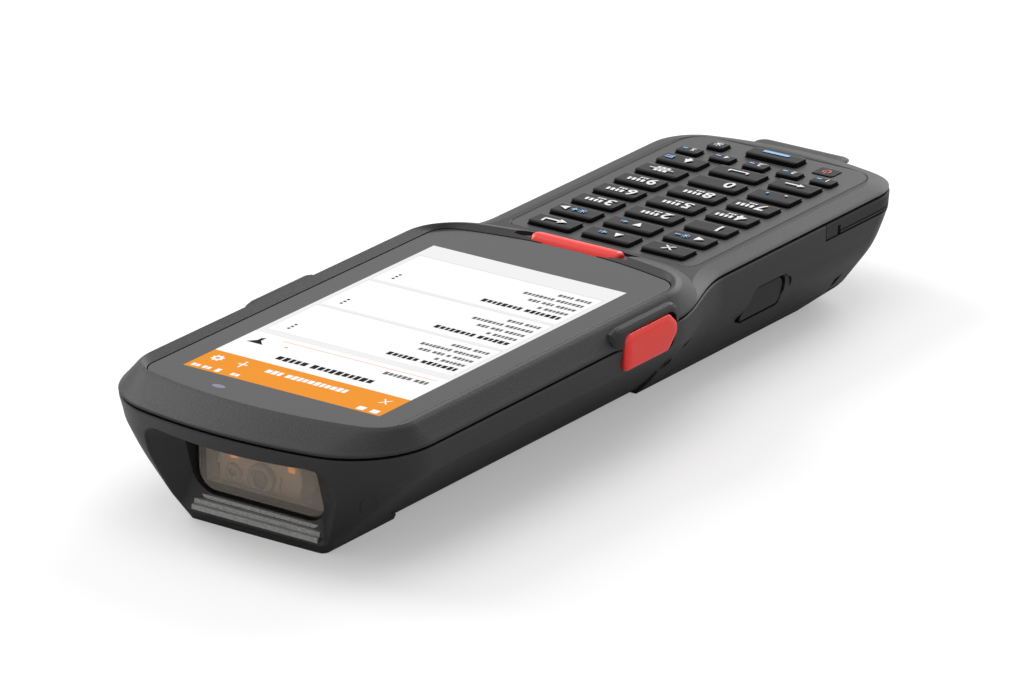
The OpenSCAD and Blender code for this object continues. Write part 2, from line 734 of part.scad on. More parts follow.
module main_board() color([0.1, 0.35, 0.2]) {
    difference() {
        box([-inner_w / 2, chassis_post_y[0] - post_r - 0.6, board_low],
            [inner_w / 2, hood_back - 1, board_high]);
        both_sides() for (y = chassis_post_y) translate([chassis_post_x, y, 0])
            cylinder(r = screw_r + 0.05, h = case_h);
    }
}

module shield_cans() color([0.78, 0.79, 0.8]) {
    for (c = [[-can_w / 2 - 2, speaker_y - 6], [can_w / 2 + 2, speaker_y - 6], [0, motor_y]])
        translate([c[0], c[1], board_low - can_h]) linear_extrude(can_h) square([can_w, can_d], center = true);
}

// ---- Keypad ----

module key_openings(grow) {
    for (k = keys) translate([k[1], k[2]]) rounded_rect(k[3] + 2 * grow, k[4] + 2 * grow, 1.2);
}

module keypad_frame() color([0.22, 0.22, 0.23]) {
    translate([0, 0, plate_low]) linear_extrude(deck_t) difference() {
        polygon(pad_ring(0));
        key_openings(key_gap);
    }
}

// One keycap: the crowned cap and the flange that keeps it under the deck
module key(k) color([0.05, 0.05, 0.06]) {
    crown_r = 11;
    high = deck_z + k[5];
    translate([k[1], k[2], flange_low]) linear_extrude(plate_low - flange_low)
        rounded_rect(k[3] + 2 * flange_over, k[4] + 2 * flange_over, 1);
    intersection() {
        translate([k[1], k[2], flange_low + 0.1]) linear_extrude(high - flange_low) rounded_rect(k[3], k[4], 1.2);
        translate([k[1] - past, k[2], high - crown_r]) rotate([0, 90, 0]) cylinder(r = crown_r, h = past * 2);
    }
}

module key_mat() color([0.75, 0.75, 0.75]) {
    slab(plate_ring(pad_w / 2 - ring_in + 0.2, pad_board_front - 1, pad_back + 2, 0, 0, 2, 4), mat_low, mat_high);
}

module metal_domes() color([0.8, 0.8, 0.78]) {
    for (k = keys) translate([k[1], k[2], pad_board_high]) cylinder(r = min(dome_r, k[4] / 2), h = dome_t);
    translate([0, bar_y, pad_board_high]) cylinder(r = dome_r, h = dome_t);
}

module keypad_board() color([0.1, 0.35, 0.2]) {
    slab(plate_ring(pad_w / 2 - 1, pad_board_front, pad_back + 1, 0, 0, 2, 5), pad_board_low, pad_board_high);
}

// ---- Scan keys ----

module scan_bar() color([0.8, 0.15, 0.13]) {
    high = case_h - 0.1;
    crown_r = 4;
    translate([0, bar_y, flange_low]) linear_extrude(1) square([bar_l + 1.4, bar_d + 1.4], center = true);
    intersection() {
        translate([0, bar_y, flange_low + 0.1]) linear_extrude(high - flange_low) rounded_rect(bar_l, bar_d, 2);
        translate([-past, bar_y, high - crown_r]) rotate([0, 90, 0]) cylinder(r = crown_r, h = past * 2);
    }
}

module bar_surround() color([0.12, 0.12, 0.12]) {
    difference() {
        intersection() {
            translate([0, 0, deck_z - 2]) linear_extrude(past) surround_plan(0);
            difference() {
                along_x(past) slope_profile(surround_t);
                along_x(past + 1) slope_profile(0);
            }
        }
        translate([0, bar_y, 0]) linear_extrude(case_h + 1) rounded_rect(bar_l + 2 * key_gap, bar_d + 2 * key_gap, 2.2);
        // Fine ribs between the glass and the bar
        for (i = [-22:22]) box([i * 0.6 - 0.12, surround_front - 1.1, glass_z - 1.2],
                               [i * 0.6 + 0.12, surround_front - 0.3, case_h]);
    }
}

// Side key on the right side: cap in the pocket and a stem towards its switch
module side_key(y) {
    low_x = half_d - side_depth;
    intersection() {
        side_block(low_x, half_d + side_proud, y, side_z, side_l, side_h, 2.2);
        translate([half_d + side_proud - past, y - past, side_z]) rotate([-90, 0, 0])
            cylinder(r = past, h = past * 2);
    }
    translate([low_x - stem_l, y, switch_z]) rotate([0, 90, 0]) cylinder(r = 1.1, h = stem_l + 0.5);
}

module left_scan_key() color([0.8, 0.15, 0.13]) {
    mirror([1, 0, 0]) side_key(left_y);
}

module right_side_key() color([0.3, 0.3, 0.31]) {
    side_key(right_y);
}

module side_switches() color([0.6, 0.6, 0.62]) {
    for (k = [[-1, left_y], [1, right_y]]) mirror([k[0] < 0 ? 1 : 0, 0, 0]) {
        box([inner_w / 2, k[1] - 4, switch_z - 2.2], [inner_w / 2 + 0.8, k[1] + 4, switch_z + 1.6]);
        box([inner_w / 2 + 0.7, k[1] - 2.5, switch_z - 1.6], [stem_end, k[1] + 2.5, switch_z + 1.5]);
    }
}

// ---- Sound and vibration ----

module speaker() color([0.2, 0.2, 0.2]) {
    translate([0, speaker_y, belly_z + wall]) linear_extrude(speaker_t) rounded_rect(speaker_w, speaker_d, 2);
}

module vibration_motor() color([0.75, 0.75, 0.77]) {
    translate([0, motor_y, belly_z + wall]) cylinder(r = motor_r, h = motor_t);
}

// ---- Scanner ----

module scan_window() color([0.45, 0.38, 0.32, 0.4]) {
    translate([0, window_y, window_z]) rotate([90, 0, 0]) linear_extrude(window_t)
        rounded_rect(window_w, window_h, 2);
}

module scan_engine() color([0.25, 0.25, 0.25]) {
    box([engine_x - engine_w / 2, engine_front - engine_d, engine_z - engine_h / 2],
        [engine_x + engine_w / 2, engine_front, engine_z + engine_h / 2]);
}

module engine_lenses() color([0.2, 0.25, 0.3]) {
    lamp_r = 0.9;
    lamp_z = engine_h / 2 - lamp_r - 1;
    // Each lens: [x and z from the engine's middle, radius, how far it stands out]
    for (l = [[-0.8, 0.3, lens_r, lens_r / 2], [engine_w / 2 - 4.1, 0.1, aimer_r, aimer_r / 2],
              [engine_w / 2 - 4.5, lamp_z, lamp_r, lamp_r / 2], [2 - engine_w / 2, lamp_z, lamp_r, lamp_r / 2]])
        translate([engine_x + l[0], engine_front + l[3], engine_z + l[1]]) rotate([90, 0, 0])
            cylinder(r = l[2], h = l[3]);
}

module engine_bracket() color([0.7, 0.7, 0.72]) {
    t = bracket_t;
    half = engine_w / 2;
    box([engine_x - half - t, engine_front - engine_d, bracket_low],
        [engine_x + half + t, engine_front - 1, bracket_low + t]);
    for (x = [engine_x - half - t, engine_x + half])
        box([x, engine_front - engine_d, bracket_low], [x + t, engine_front - 3, engine_z + 2]);
}

// ---- Battery ----

module battery() color([0.12, 0.12, 0.13]) {
    translate([0, bay_back + battery_l / 2 + fit, battery_low]) linear_extrude(battery_t)
        rounded_rect(battery_w, battery_l, 2);
}

module battery_contacts() color([0.85, 0.7, 0.3]) {
    for (x = [-6, -2, 2, 6])
        box([x - 0.6, bay_front - contact_l + fit, battery_low + 4], [x + 0.6, bay_front, battery_low + 7]);
}

module battery_cover() color([0.2, 0.2, 0.21]) {
    difference() {
        intersection() {
            rear_outer();
            box([-past * 2, cover_back, -1], [past * 2, cover_front - fit, split_z]);
        }
        loft([case_ring(inset(sole_ring, wall * 0.6, wall * 0.6, wall)),
              case_ring(inset(split_ring, wall * 1.1, wall * 1.1, wall))], [wall - 0.2, split_z + 0.1]);
    }
}

module battery_latch() color([0.15, 0.15, 0.16]) {
    intersection() {
        rear_outer();
        box([-past * 2, -half_l, -1], [past * 2, cover_back - fit, latch_z]);
    }
    latch_guide(0, 0);
}

// Rib on the latch, and with a gap and the travel added the slot that it runs in
module latch_guide(gap, travel) {
    box([-guide_w / 2 - gap, cover_back - guide_l - 4 - gap - travel, latch_z - 0.1],
        [guide_w / 2 + gap, cover_back - 4 + gap, latch_z + bay_wall]);
}

// ---- Port and tail ----

module port_flap() color([0.1, 0.1, 0.1]) {
    intersection() {
        side_block(-flap_x, -flap_x + 2 * bead_r, flap_y, flap_z, flap_l, flap_h, flap_r);
        union() {
            box([-half_d, flap_y - flap_l, 0], [0, bead_y, case_h]);
            translate([-flap_x + bead_r, bead_y, flap_z - flap_h / 2]) cylinder(r = bead_r, h = flap_h);
        }
    }
}

module port_connector() color([0.7, 0.7, 0.72]) {
    difference() {
        side_block(port_x, -bay_half - bay_wall, flap_y, flap_z, port_w, port_h, 1);
        side_block(port_x - 1, port_x + 3.6, flap_y, flap_z, port_w - 3, port_h - 1.8, 1);
    }
}

module tail_bumper() color([0.09, 0.09, 0.09]) {
    intersection() {
        rear_outer();
        bumper_space(0);
    }
}

module screws() color([0.5, 0.5, 0.52]) {
    both_sides() {
        for (y = chassis_post_y) translate([chassis_post_x, y, module_low]) {
            cylinder(r = screw_head_r, h = screw_head_h);
            translate([0, 0, -screw_l]) cylinder(r = screw_r, h = screw_l + 0.1);
        }
        for (p = case_screws) translate([p[0], p[1], p[2]]) {
            translate([0, 0, -screw_head_h]) cylinder(r = screw_head_r, h = screw_head_h);
            translate([0, 0, -0.1]) cylinder(r = screw_r, h = screw_l + 0.1);
        }
    }
}

rear_housing();
front_housing();
housing_gasket();
display_glass();
display_module();
display_chassis();
main_board();
shield_cans();
keypad_frame();
key_mat();
metal_domes();
keypad_board();
scan_bar();
bar_surround();
left_scan_key();
right_side_key();
side_switches();
speaker();
vibration_motor();
scan_window();
scan_engine();
engine_lenses();
engine_bracket();
battery();
battery_cover();
battery_latch();
battery_contacts();
port_flap();
port_connector();
tail_bumper();
screws();
for (k = keys) key(k);
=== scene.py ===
import math
import bpy
import bmesh
from mathutils import Matrix, Vector


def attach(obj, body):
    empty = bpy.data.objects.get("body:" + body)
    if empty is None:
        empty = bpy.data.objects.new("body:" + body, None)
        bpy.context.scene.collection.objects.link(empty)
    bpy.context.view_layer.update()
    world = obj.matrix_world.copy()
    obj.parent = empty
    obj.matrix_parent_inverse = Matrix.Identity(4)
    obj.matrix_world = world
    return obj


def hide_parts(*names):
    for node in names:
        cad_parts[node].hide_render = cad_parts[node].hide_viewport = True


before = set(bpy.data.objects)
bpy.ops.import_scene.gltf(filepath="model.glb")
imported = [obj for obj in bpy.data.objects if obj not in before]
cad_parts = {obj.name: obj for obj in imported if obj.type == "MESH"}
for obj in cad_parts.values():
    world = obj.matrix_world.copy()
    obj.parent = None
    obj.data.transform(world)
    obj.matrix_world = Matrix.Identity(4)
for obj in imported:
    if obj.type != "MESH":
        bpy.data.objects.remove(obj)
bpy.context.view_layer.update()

# Camera: a long lens from above the nose, on the side with the red key.
camera_data = bpy.data.cameras.new("camera")
camera_data.lens = 267.591
camera_data.sensor_width = 36
camera_data.clip_end = 20
camera = bpy.data.objects.new("camera", camera_data)
bpy.context.collection.objects.link(camera)
camera.matrix_world = Matrix((
    (-0.8010329, 0.2031892, -0.5630812, -0.9230530),
    (-0.5983977, -0.2974442, 0.7439403, 1.2255150),
    (-0.0163246, 0.9328671, 0.3598505, 0.6046582),
    (0, 0, 0, 1)))
bpy.context.scene.camera = camera
bpy.context.scene.view_settings.view_transform = "Standard"

# Studio: a white table, a pale all-round light and soft lamps above. What a camera,
# a gloss or a glass sees of the room is plain white.
def add_node(tree, kind, **values):
    # Underscores stand for the spaces in the names of inputs
    node = tree.nodes.new("ShaderNode" + kind)
    for name, value in values.items():
        node.inputs[name.replace("_", " ")].default_value = value
    return node


def dials(paint, **values):
    shader = paint.node_tree.nodes["Principled BSDF"]
    for name, value in values.items():
        shader.inputs[name.replace("_", " ")].default_value = value
    return shader


def wire(tree, *links):
    for source, output, target, into in links:
        tree.links.new(source.outputs[output], target.inputs[into])


world = bpy.data.worlds.new("room")
bpy.context.scene.world = world
world.use_nodes = True
room = world.node_tree
room.nodes.clear()
sky = add_node(room, "Background", Color=(1, 1, 1, 1), Strength=0.5)
white = add_node(room, "Background", Color=(1, 1, 1, 1), Strength=1)
rays = add_node(room, "LightPath")
white_rays = add_node(room, "Math")
seen_rays = add_node(room, "Math")
white_rays.operation = seen_rays.operation = "MAXIMUM"
room_mix = add_node(room, "MixShader")
wire(room, (rays, "Is Camera Ray", white_rays, 0), (rays, "Is Glossy Ray", white_rays, 1),
     (white_rays, 0, seen_rays, 0), (rays, "Is Transmission Ray", seen_rays, 1),
     (seen_rays, 0, room_mix, 0), (sky, 0, room_mix, 1), (white, 0, room_mix, 2),
     (room_mix, 0, add_node(room, "OutputWorld"), 0))


def lamp(name, place, size, power):
    data = bpy.data.lights.new(name, "AREA")
    data.shape = "RECTANGLE"
    data.size = data.size_y = size
    data.energy = power
    light = bpy.data.objects.new(name, data)
    bpy.context.collection.objects.link(light)
    light.location = place
    light.rotation_euler = (-Vector(place)).to_track_quat("-Z", "Y").to_euler()


lamp("top_lamp", (0.05, -0.05, 1.0), 0.8, 2.2)
lamp("nose_lamp", (0.76, 0.02, 0.64), 0.45, 3.5)
lamp("handle_lamp", (0.1, -0.86, 0.48), 0.6, 3.6)

bpy.ops.mesh.primitive_plane_add(size=6, location=(0, 0, -0.00005))
table = bpy.context.object
table.name = "table"
table_paint = bpy.data.materials.new("table_white")
table_paint.use_nodes = True
table_tree = table_paint.node_tree
table_shader = dials(table_paint, Base_Color=(0.76, 0.76, 0.76, 1), Roughness=0.9, Specular_IOR_Level=0)
# Seen by the camera, the table is lifted to white and keeps the shadow. From below it is
# clear, so that the underside can be looked at.
table_rays = add_node(table_tree, "LightPath")
table_lift = add_node(table_tree, "Emission", Strength=0.32)
table_add = add_node(table_tree, "AddShader")
table_mix = add_node(table_tree, "MixShader")
table_side = add_node(table_tree, "NewGeometry")
table_clear = add_node(table_tree, "BsdfTransparent")
table_faces = add_node(table_tree, "MixShader")
wire(table_tree, (table_shader, 0, table_add, 0), (table_lift, 0, table_add, 1),
     (table_rays, "Is Camera Ray", table_mix, 0), (table_shader, 0, table_mix, 1), (table_add, 0, table_mix, 2),
     (table_side, "Backfacing", table_faces, 0), (table_mix, 0, table_faces, 1), (table_clear, 0, table_faces, 2),
     (table_faces, 0, table_tree.nodes["Material Output"], "Surface"))
table.data.materials.append(table_paint)

# Rear housing: one injection-moulded tray of fine-textured dark plastic. It carries the
# nose with its scan recess, the battery bay and the seats of everything inside.
MM = 0.001
NOSE_TILT = math.atan(0.4157)
CASE_ROWS = [  # height, half widths at display and handle, nose end, tail end, nose bow, corner radii
    (25.25, 38.6, 31.0, 105.45, -102.85, 0.004, 19.5, 11),
    (24.95, 38.87, 31.29, 105.6, -103.12, 0.004, 19.5, 11),
    (21.6, 38.46, 31.18, 104.18, -102.7, 0.004, 18, 11),
    (19.4, 38.2, 31.1, 103.21, -101.2, 0.004, 16.5, 11),
    (14.4, 33.0, 30.5, 101.14, -98.0, 0.003, 11, 11),
    (5.0, 23.2, 24.0, 97.23, -92.15, 0.001, 4, 8),
    (0.0, 18.0, 18.0, 95.15, -82.15, 0.0005, 1.5, 6)]


def pick(piece):
    bpy.ops.object.select_all(action="DESELECT")
    piece.select_set(True)
    bpy.context.view_layer.objects.active = piece


def bowed_end(half, end, bow, radius):
    corner = half - radius
    join = corner / (1 - 2 * bow * radius)
    turn = math.acos(2 * bow * join)
    middle = end - bow * join * join - radius * math.sin(turn)
    points = [(join * i / 8, end - bow * (join * i / 8) ** 2) for i in range(9)]
    for i in range(1, 15):
        a = turn * (1 - i / 14)
        points.append((corner + radius * math.cos(a), middle + radius * math.sin(a)))
    return points


def mirrored(half):
    return half + [(-x, y) for x, y in reversed(half[1:-1])]


def case_ring(row):
    z, front, back, nose, tail, bow, nose_r, tail_r = row
    neck = []
    for i in range(19):
        t = i / 18
        neck.append((front + (back - front) * (3 * t * t - 2 * t ** 3), -0.9 - 28.5 * t))
    end = [(x, -y) for x, y in reversed(bowed_end(back, -tail, 0.006, tail_r))]
    ring = mirrored(bowed_end(front, nose, bow, nose_r) + neck + end)
    return [(x, y, z) for x, y in ring]


def softened(rows, reach):
    # Rows with the corner at each inner row turned into a short curve
    out = [rows[0]]
    for i in range(1, len(rows) - 1):
        before, here, after = rows[i - 1], rows[i], rows[i + 1]
        near = min(0.45, reach[i] / abs(before[0] - here[0]))
        far = min(0.45, reach[i] / abs(after[0] - here[0]))
        a = [h + (b - h) * near for h, b in zip(here, before)]
        c = [h + (b - h) * far for h, b in zip(here, after)]
        for k in range(6):
            t = k / 5
            out.append([(1 - t) ** 2 * p + 2 * t * (1 - t) * h + t * t * q for p, h, q in zip(a, here, c)])
    return out + [rows[-1]]


def new_piece(name, mesh):
    piece = bpy.data.objects.new(name, mesh)
    bpy.context.collection.objects.link(piece)
    return piece


def edit(step, **settings):
    # Runs one mesh step on the whole of the picked piece
    bpy.ops.object.mode_set(mode="EDIT")
    bpy.ops.mesh.select_all(action="SELECT")
    step(**settings)
    bpy.ops.object.mode_set(mode="OBJECT")


def loft(name, rings):
    # A skin through rings of points in millimetres, closed at both ends
    count = len(rings[0])
    faces = [tuple(range(count)), tuple(reversed(range((len(rings) - 1) * count, len(rings) * count)))]
    for i in range(len(rings) - 1):
        for j in range(count):
            k = (j + 1) % count
            faces.append((i * count + k, i * count + j, (i + 1) * count + j, (i + 1) * count + k))
    mesh = bpy.data.meshes.new(name)
    mesh.from_pydata([[v * MM for v in point] for ring in rings for point in ring], [], faces)
    piece = new_piece(name, mesh)
    pick(piece)
    edit(bpy.ops.mesh.normals_make_consistent, inside=False)
    return piece


def case_loft(name, rows):
    return loft(name, [case_ring(row) for row in rows])


def block(name, low, high, bevel=0, segments=3):
    middle = [(a + b) / 2 * MM for a, b in zip(low, high)]
    size = [(b - a) * MM for a, b in zip(low, high)]
    bpy.ops.object.select_all(action="DESELECT")
    bpy.ops.mesh.primitive_cube_add(size=1, location=middle)
    piece = bpy.context.object
    piece.name = name
    piece.scale = size
    bpy.ops.object.transform_apply(location=True, rotation=True, scale=True)
    if bevel:
        edit(bpy.ops.mesh.bevel, offset=bevel * MM, segments=segments, profile=0.5, affect="EDGES")
    return piece


def rod(radius, length, place, vertices=40, turn=(0, 0, 0)):
    bpy.ops.object.select_all(action="DESELECT")
    bpy.ops.mesh.primitive_cylinder_add(vertices=vertices, radius=radius * MM, depth=length * MM, rotation=turn,
                                        location=[v * MM for v in place])
    return bpy.context.object


def prism(name, outline, axis, low, high):
    # Outline points are given in the two axes other than the prism's own, in x, y, z order
    k = "xyz".index(axis)
    return loft(name, [[(a, b)[:k] + (level,) + (a, b)[k:] for a, b in outline] for level in (low, high)])


def combine(piece, tool, how="DIFFERENCE", keep=False):
    pick(piece)
    boolean = piece.modifiers.new("cut", "BOOLEAN")
    boolean.operation = how
    boolean.solver = "EXACT"
    boolean.object = tool
    bpy.ops.object.modifier_apply(modifier="cut")
    if not keep:
        bpy.data.objects.remove(tool)


def smooth(piece, angle=35):
    pick(piece)
    bpy.ops.object.shade_smooth_by_angle(angle=math.radians(angle))
    weighted = piece.modifiers.new("weighted", "WEIGHTED_NORMAL")
    weighted.keep_sharp = True
    bpy.ops.object.modifier_apply(modifier="weighted")


def rounded_outline(corners, steps=8):
    # Corners are (a, b, radius), in order round the outline
    points = []
    count = len(corners)
    for i in range(count):
        here = Vector(corners[i][:2])
        before = (Vector(corners[i - 1][:2]) - here).normalized()
        after = (Vector(corners[(i + 1) % count][:2]) - here).normalized()
        radius = corners[i][2]
        opening = before.angle(after)
        reach = radius / math.tan(opening / 2)
        middle = here + (before + after).normalized() * (radius / math.sin(opening / 2))
        start = here + before * reach - middle
        end = here + after * reach - middle
        turn = math.pi - opening
        side = 1 if start.x * end.y - start.y * end.x > 0 else -1
        for k in range(steps + 1):
            a = side * turn * k / steps
            points.append((middle.x + start.x * math.cos(a) - start.y * math.sin(a),
                           middle.y + start.x * math.sin(a) + start.y * math.cos(a)))
    return points


def plastic(name, colour, roughness, grain=0.00003, scale=2600, mottle=0.12, gloss=0.5):
    paint = bpy.data.materials.new(name)
    paint.use_nodes = True
    tree = paint.node_tree
    shader = dials(paint, Roughness=roughness, Specular_IOR_Level=gloss)
    place = add_node(tree, "TexCoord")
    noise = add_node(tree, "TexNoise", Scale=scale, Detail=3)
    ramp = add_node(tree, "ValToRGB")
    ramp.color_ramp.elements[0].position = 0.3
    ramp.color_ramp.elements[1].position = 0.75
    ramp.color_ramp.elements[0].color = [c * (1 - mottle) for c in colour] + [1]
    ramp.color_ramp.elements[1].color = [c * (1 + mottle) for c in colour] + [1]
    bump = add_node(tree, "Bump", Strength=0.6, Distance=grain)
    wire(tree, (place, "Object", noise, "Vector"), (noise, "Fac", ramp, "Fac"), (ramp, "Color", shader, "Base Color"),
         (noise, "Fac", bump, "Height"), (bump, "Normal", shader, "Normal"))
    return paint


def finish(piece, body, slot, paint, *nodes):
    piece.data.materials.clear()
    piece.data.materials.append(paint)
    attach(piece, body)
    if nodes:
        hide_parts(*nodes)


rear_plastic = plastic("rear_plastic", (0.017, 0.017, 0.0173), 0.45, 0.00006, gloss=0.36)
case_solid = case_loft("case_solid", softened(CASE_ROWS, (0, 0, 0.15, 0.8, 2.6, 0.8, 0)))


def case_copy(name):
    return new_piece(name, case_solid.data.copy())


def on_nose(x, depth, drop):
    # A point on the slanted nose face: drop runs down the face, depth goes in from it
    y = 105.75 + depth * math.cos(NOSE_TILT) - drop * math.sin(NOSE_TILT)
    z = 25.5 - depth * math.sin(NOSE_TILT) - drop * math.cos(NOSE_TILT)
    bow = 0.0005 + 0.0035 * min(1, max(0, z / 19.4))
    return (x, y - bow * x * x, z)


def both_sides(*right):
    # Outline from the corners of its +X half
    return rounded_outline(list(right) + [(-x, z, r) for x, z, r in reversed(right)])


def rim_outline(grow):
    return both_sides((24.3 + grow, 4.5 - grow, 4.2 + grow), (24.1 + grow, 12, 6), (18.8 + grow, 25.1 + grow, 3 + grow))


def throat_outline(grow):
    return both_sides((17.4 + grow, 20 + grow, 3), (17.4 + grow, 15, 6), (17.4 + grow, 5.6 - grow, 5.2))


def recess(name, grow, deep_y):
    rings = [[on_nose(x, depth, s) for x, s in rim_outline(flare + grow)]
             for depth, flare in ((3, 0.75), (0, 0.7), (-0.12, 0.4), (-0.35, 0.1), (-0.7, -0.2))]
    rings.append([(x, 92.9 + 0.257 * (z - 5.6), z) for x, z in throat_outline(grow)])
    rings.append([(x, deep_y, z) for x, z in throat_outline(grow)])
    return loft(name, rings)


def boxes_off(piece, *boxes):
    for low, high in boxes:
        combine(piece, block("tool", low, high))


cavity = case_loft("cavity", [
    (27, 36.9, 27.8, 102.2, -99.6, 0.004, 13, 9), (19.4, 35.8, 27.6, 99.7, -98.9, 0.004, 12, 9),
    (14.4, 30.2, 27.3, 97.6, -95.6, 0.003, 9, 9), (7, 20.6, 21.6, 95.2, -90, 0.001, 5, 7),
    (3.5, 17.6, 17.6, 93.1, -80, 0.0005, 4, 5)])
combine(cavity, recess("hood", 2, 89.3))
boxes_off(cavity, ((-19.6, -75.2, 4), (19.6, -20.8, 15.5)), ((-40, -75.2, 4), (40, -17.4, 6.4)),
          ((-40, -110, 4), (40, -72, 7.6)), ((-18, 70, 3), (18, 72, 3.6)))
rear = case_copy("rear_shell")
combine(rear, cavity)
combine(rear, recess("recess", 0, 91.3))
# Stepped ledge under the window
steps = prism("steps", [(92.6, 1.8), (92.6, 5.45), (93.6, 5.4), (93.75, 4.5), (94.65, 4.45), (94.8, 3.55), (95.6, 3.5),
                        (95.7, 2.4), (94.5, 1.8)], "x", -16.6, 16.6)
boxes_off(rear, ((-15.5, 88, 7.8), (15.5, 92, 17.4)))

# Underside between nose and handle, set in by a step
belly_length = [(82, 19.4), (81.8, 9), (80, 5.5), (74.5, 2.8), (70.5, -1), (-14.9, -1), (-6, 19.4)]
belly = prism("belly", belly_length, "x", -50, 50)
belly_side = [(37.7, 20.4), (37.7, 19.4), (32.5, 14.4), (22.7, 5), (18.35, 1.35)]
combine(belly, prism("belly_core", belly_side + [(-x, z) for x, z in reversed(belly_side)], "y", -120, 120))
combine(rear, belly)
# Battery bay, cover and latch
boxes_off(rear, ((-18.4, -74, -1), (18.4, -22, 14.3)), ((-40, -75, -1), (40, -19.25, 5.15)),
          ((-40, -110, -1), (40, -73.85, 5.05)), ((-4.15, -86.65, 6), (4.15, -77.85, 8)))


def side_hole(low_x, high_x, y, z, length, height, radius, name="tool"):
    outline = rounded_outline([(y - length / 2, z - height / 2, radius), (y + length / 2, z - height / 2, radius),
                               (y + length / 2, z + height / 2, radius), (y - length / 2, z + height / 2, radius)], 6)
    return prism(name, outline, "x", low_x, high_x)


left_pocket = side_hole(-44, -35.2, 9, 24.2, 19.1, 8.9, 2.4, "left_pocket")
right_pocket = side_hole(35.2, 44, 38, 24.2, 19.1, 8.9, 2.4, "right_pocket")
combine(rear, left_pocket, keep=True)
combine(rear, right_pocket, keep=True)
# Port, its flap's seat and the groove for a nail
FLAP = [(-42.6, 18.1, 2.2), (-35.5, 12.3, 0.5), (-51.2, 12.3, 2.6), (-53.7, 18.1, 1.6)]


def flap_outline(grow):
    middle = Vector((-44.7, 15.2))
    grown = []
    for y, z, radius in FLAP:
        away = Vector((y, z)) - middle
        grown.append((y + grow * (1 if away.x > 0 else -1), z + grow * (1 if away.y > 0 else -1), radius + grow * 0.4))
    return rounded_outline(grown, 6)


combine(rear, prism("flap_seat", flap_outline(0.5), "x", -33, -28.5))
combine(rear, prism("flap_lip", flap_outline(0.85), "x", -33, -30.7))
# Finger notch of the latch
for side in (-1, 1):
    boxes_off(rear, ((side * 30 - 9, -85, 5), (side * 30 + 9, -78.4, 5.45)),
              ((side * 30 - 10, -86.7, 4.6), (side * 30 + 10, -85, 6.3)))
combine(rear, side_hole(-30, -25.05, -44.7, 15.2, 14, 4.6, 1))
nail_groove = rounded_outline([(-52, 17.6, 0.8), (-55.9, 18.3, 1.6), (-54.9, 14.6, 1), (-52.2, 13.4, 0.4)], 6)
combine(rear, prism("nail_groove", nail_groove, "x", -33, -30.35))
# Leaf-shaped gap behind the neck, on both sides
for side in (-1, 1):
    leaf = rounded_outline([(-14.6, 16.8, 0.2), (-10.7, 15.4, 2.2), (-7.9, 11.1, 0.2), (-11.9, 12.7, 2.2)], 6)
    combine(rear, prism("leaf", leaf, "x", min(side * 31.8, side * 45), max(side * 31.8, side * 45)))
# Seat of the tail bumper
bumper_core = case_loft("bumper_core", (
    (27, 37.2, 29.55, 104.1, -101.45, 0.004, 14.2, 10.2), (20, 36.5, 29.4, 101.5, -100.8, 0.004, 13.2, 10.2)))
bumper_space = block("bumper_space", (-45, -110, 21.5), (45, -67.8, 25.5))
combine(bumper_space, bumper_core, keep=True)
combine(rear, bumper_space)
# Grips beside the latch: a pill-shaped line on each slope, and a small notch behind it
GRIP_LINE = rounded_outline([(-71.2, 7.7, 1.2), (-78.2, 8.0, 1.2), (-78.5, 6.2, 1.0), (-71.8, 5.6, 1.0)], 6)
GRIP_MIDDLE = rounded_outline([(-71.7, 7.25, 0.9), (-77.8, 7.6, 0.9), (-78.0, 6.6, 0.7), (-72.1, 6.05, 0.7)], 6)
GRIP_NOTCH = [(-78.2, 8.6), (-80.6, 9.3), (-79.4, 6.6), (-78.4, 6.2)]
for side in (-1, 1):
    ends = (min(side * 20, side * 40), max(side * 20, side * 40))
    grip = prism("grip", GRIP_LINE, "x", *ends)
    combine(grip, prism("tool", GRIP_MIDDLE, "x", -50, 50))
    combine(grip, prism("tool", GRIP_NOTCH, "x", *ends), "UNION")
    combine(grip, case_loft("tool", (
        (14.4, 32.4, 29.9, 100.5, -97.4, 0.003, 11, 11), (5, 22.6, 23.4, 96.6, -91.5, 0.001, 4, 8),
        (0, 17.4, 17.4, 94.5, -81.5, 0.0005, 1.5, 6))))
    combine(rear, grip)
# Speaker slots
for slot_x in range(-3, 4):
    combine(rear, block("tool", (slot_x * 2.5 - 0.6, 24, -1), (slot_x * 2.5 + 0.6, 36, 4)))
# Screw holes in pairs: x, y and the height of the seat. All but the second pair have plugs
# that are flush with the slopes.
SCREW_HOLES = ((30, 95.25, 19.4), (28, -11, 17), (27, -58, 17), (27, -88, 17))
for x, y, seat in SCREW_HOLES:
    for side in (-1, 1):
        combine(rear, rod(1.75, seat + 1, (side * x, y, (seat - 1) / 2)))
smooth(rear, 25)
plugs = block("screw_plugs", (28, 93, 18), (28.1, 93.1, 18.1))
for x, y, seat in SCREW_HOLES[:1] + SCREW_HOLES[2:]:
    for side in (-1, 1):
        combine(plugs, rod(1.68, seat, (side * x, y, (seat - 2) / 2)), "UNION")
combine(plugs, block("tool", (27.5, 92, 17.5), (28.3, 94, 19)))
combine(plugs, case_solid, "INTERSECT", keep=True)
smooth(plugs)
finish(plugs, "case", "rear_shell", rear_plastic)
finish(rear, "case", "rear_shell", rear_plastic, "rear_housing")
# The stepped ledge is dark plastic like the tray. Its pale grey colour is a painted sheen that stands in for the light
# its steps catch.
smooth(steps, 20)
finish(steps, "case", "rear_shell", plastic("ledge_painted_sheen", (0.4, 0.4, 0.39), 0.45, 0.00008, mottle=0.3, gloss=0.5))
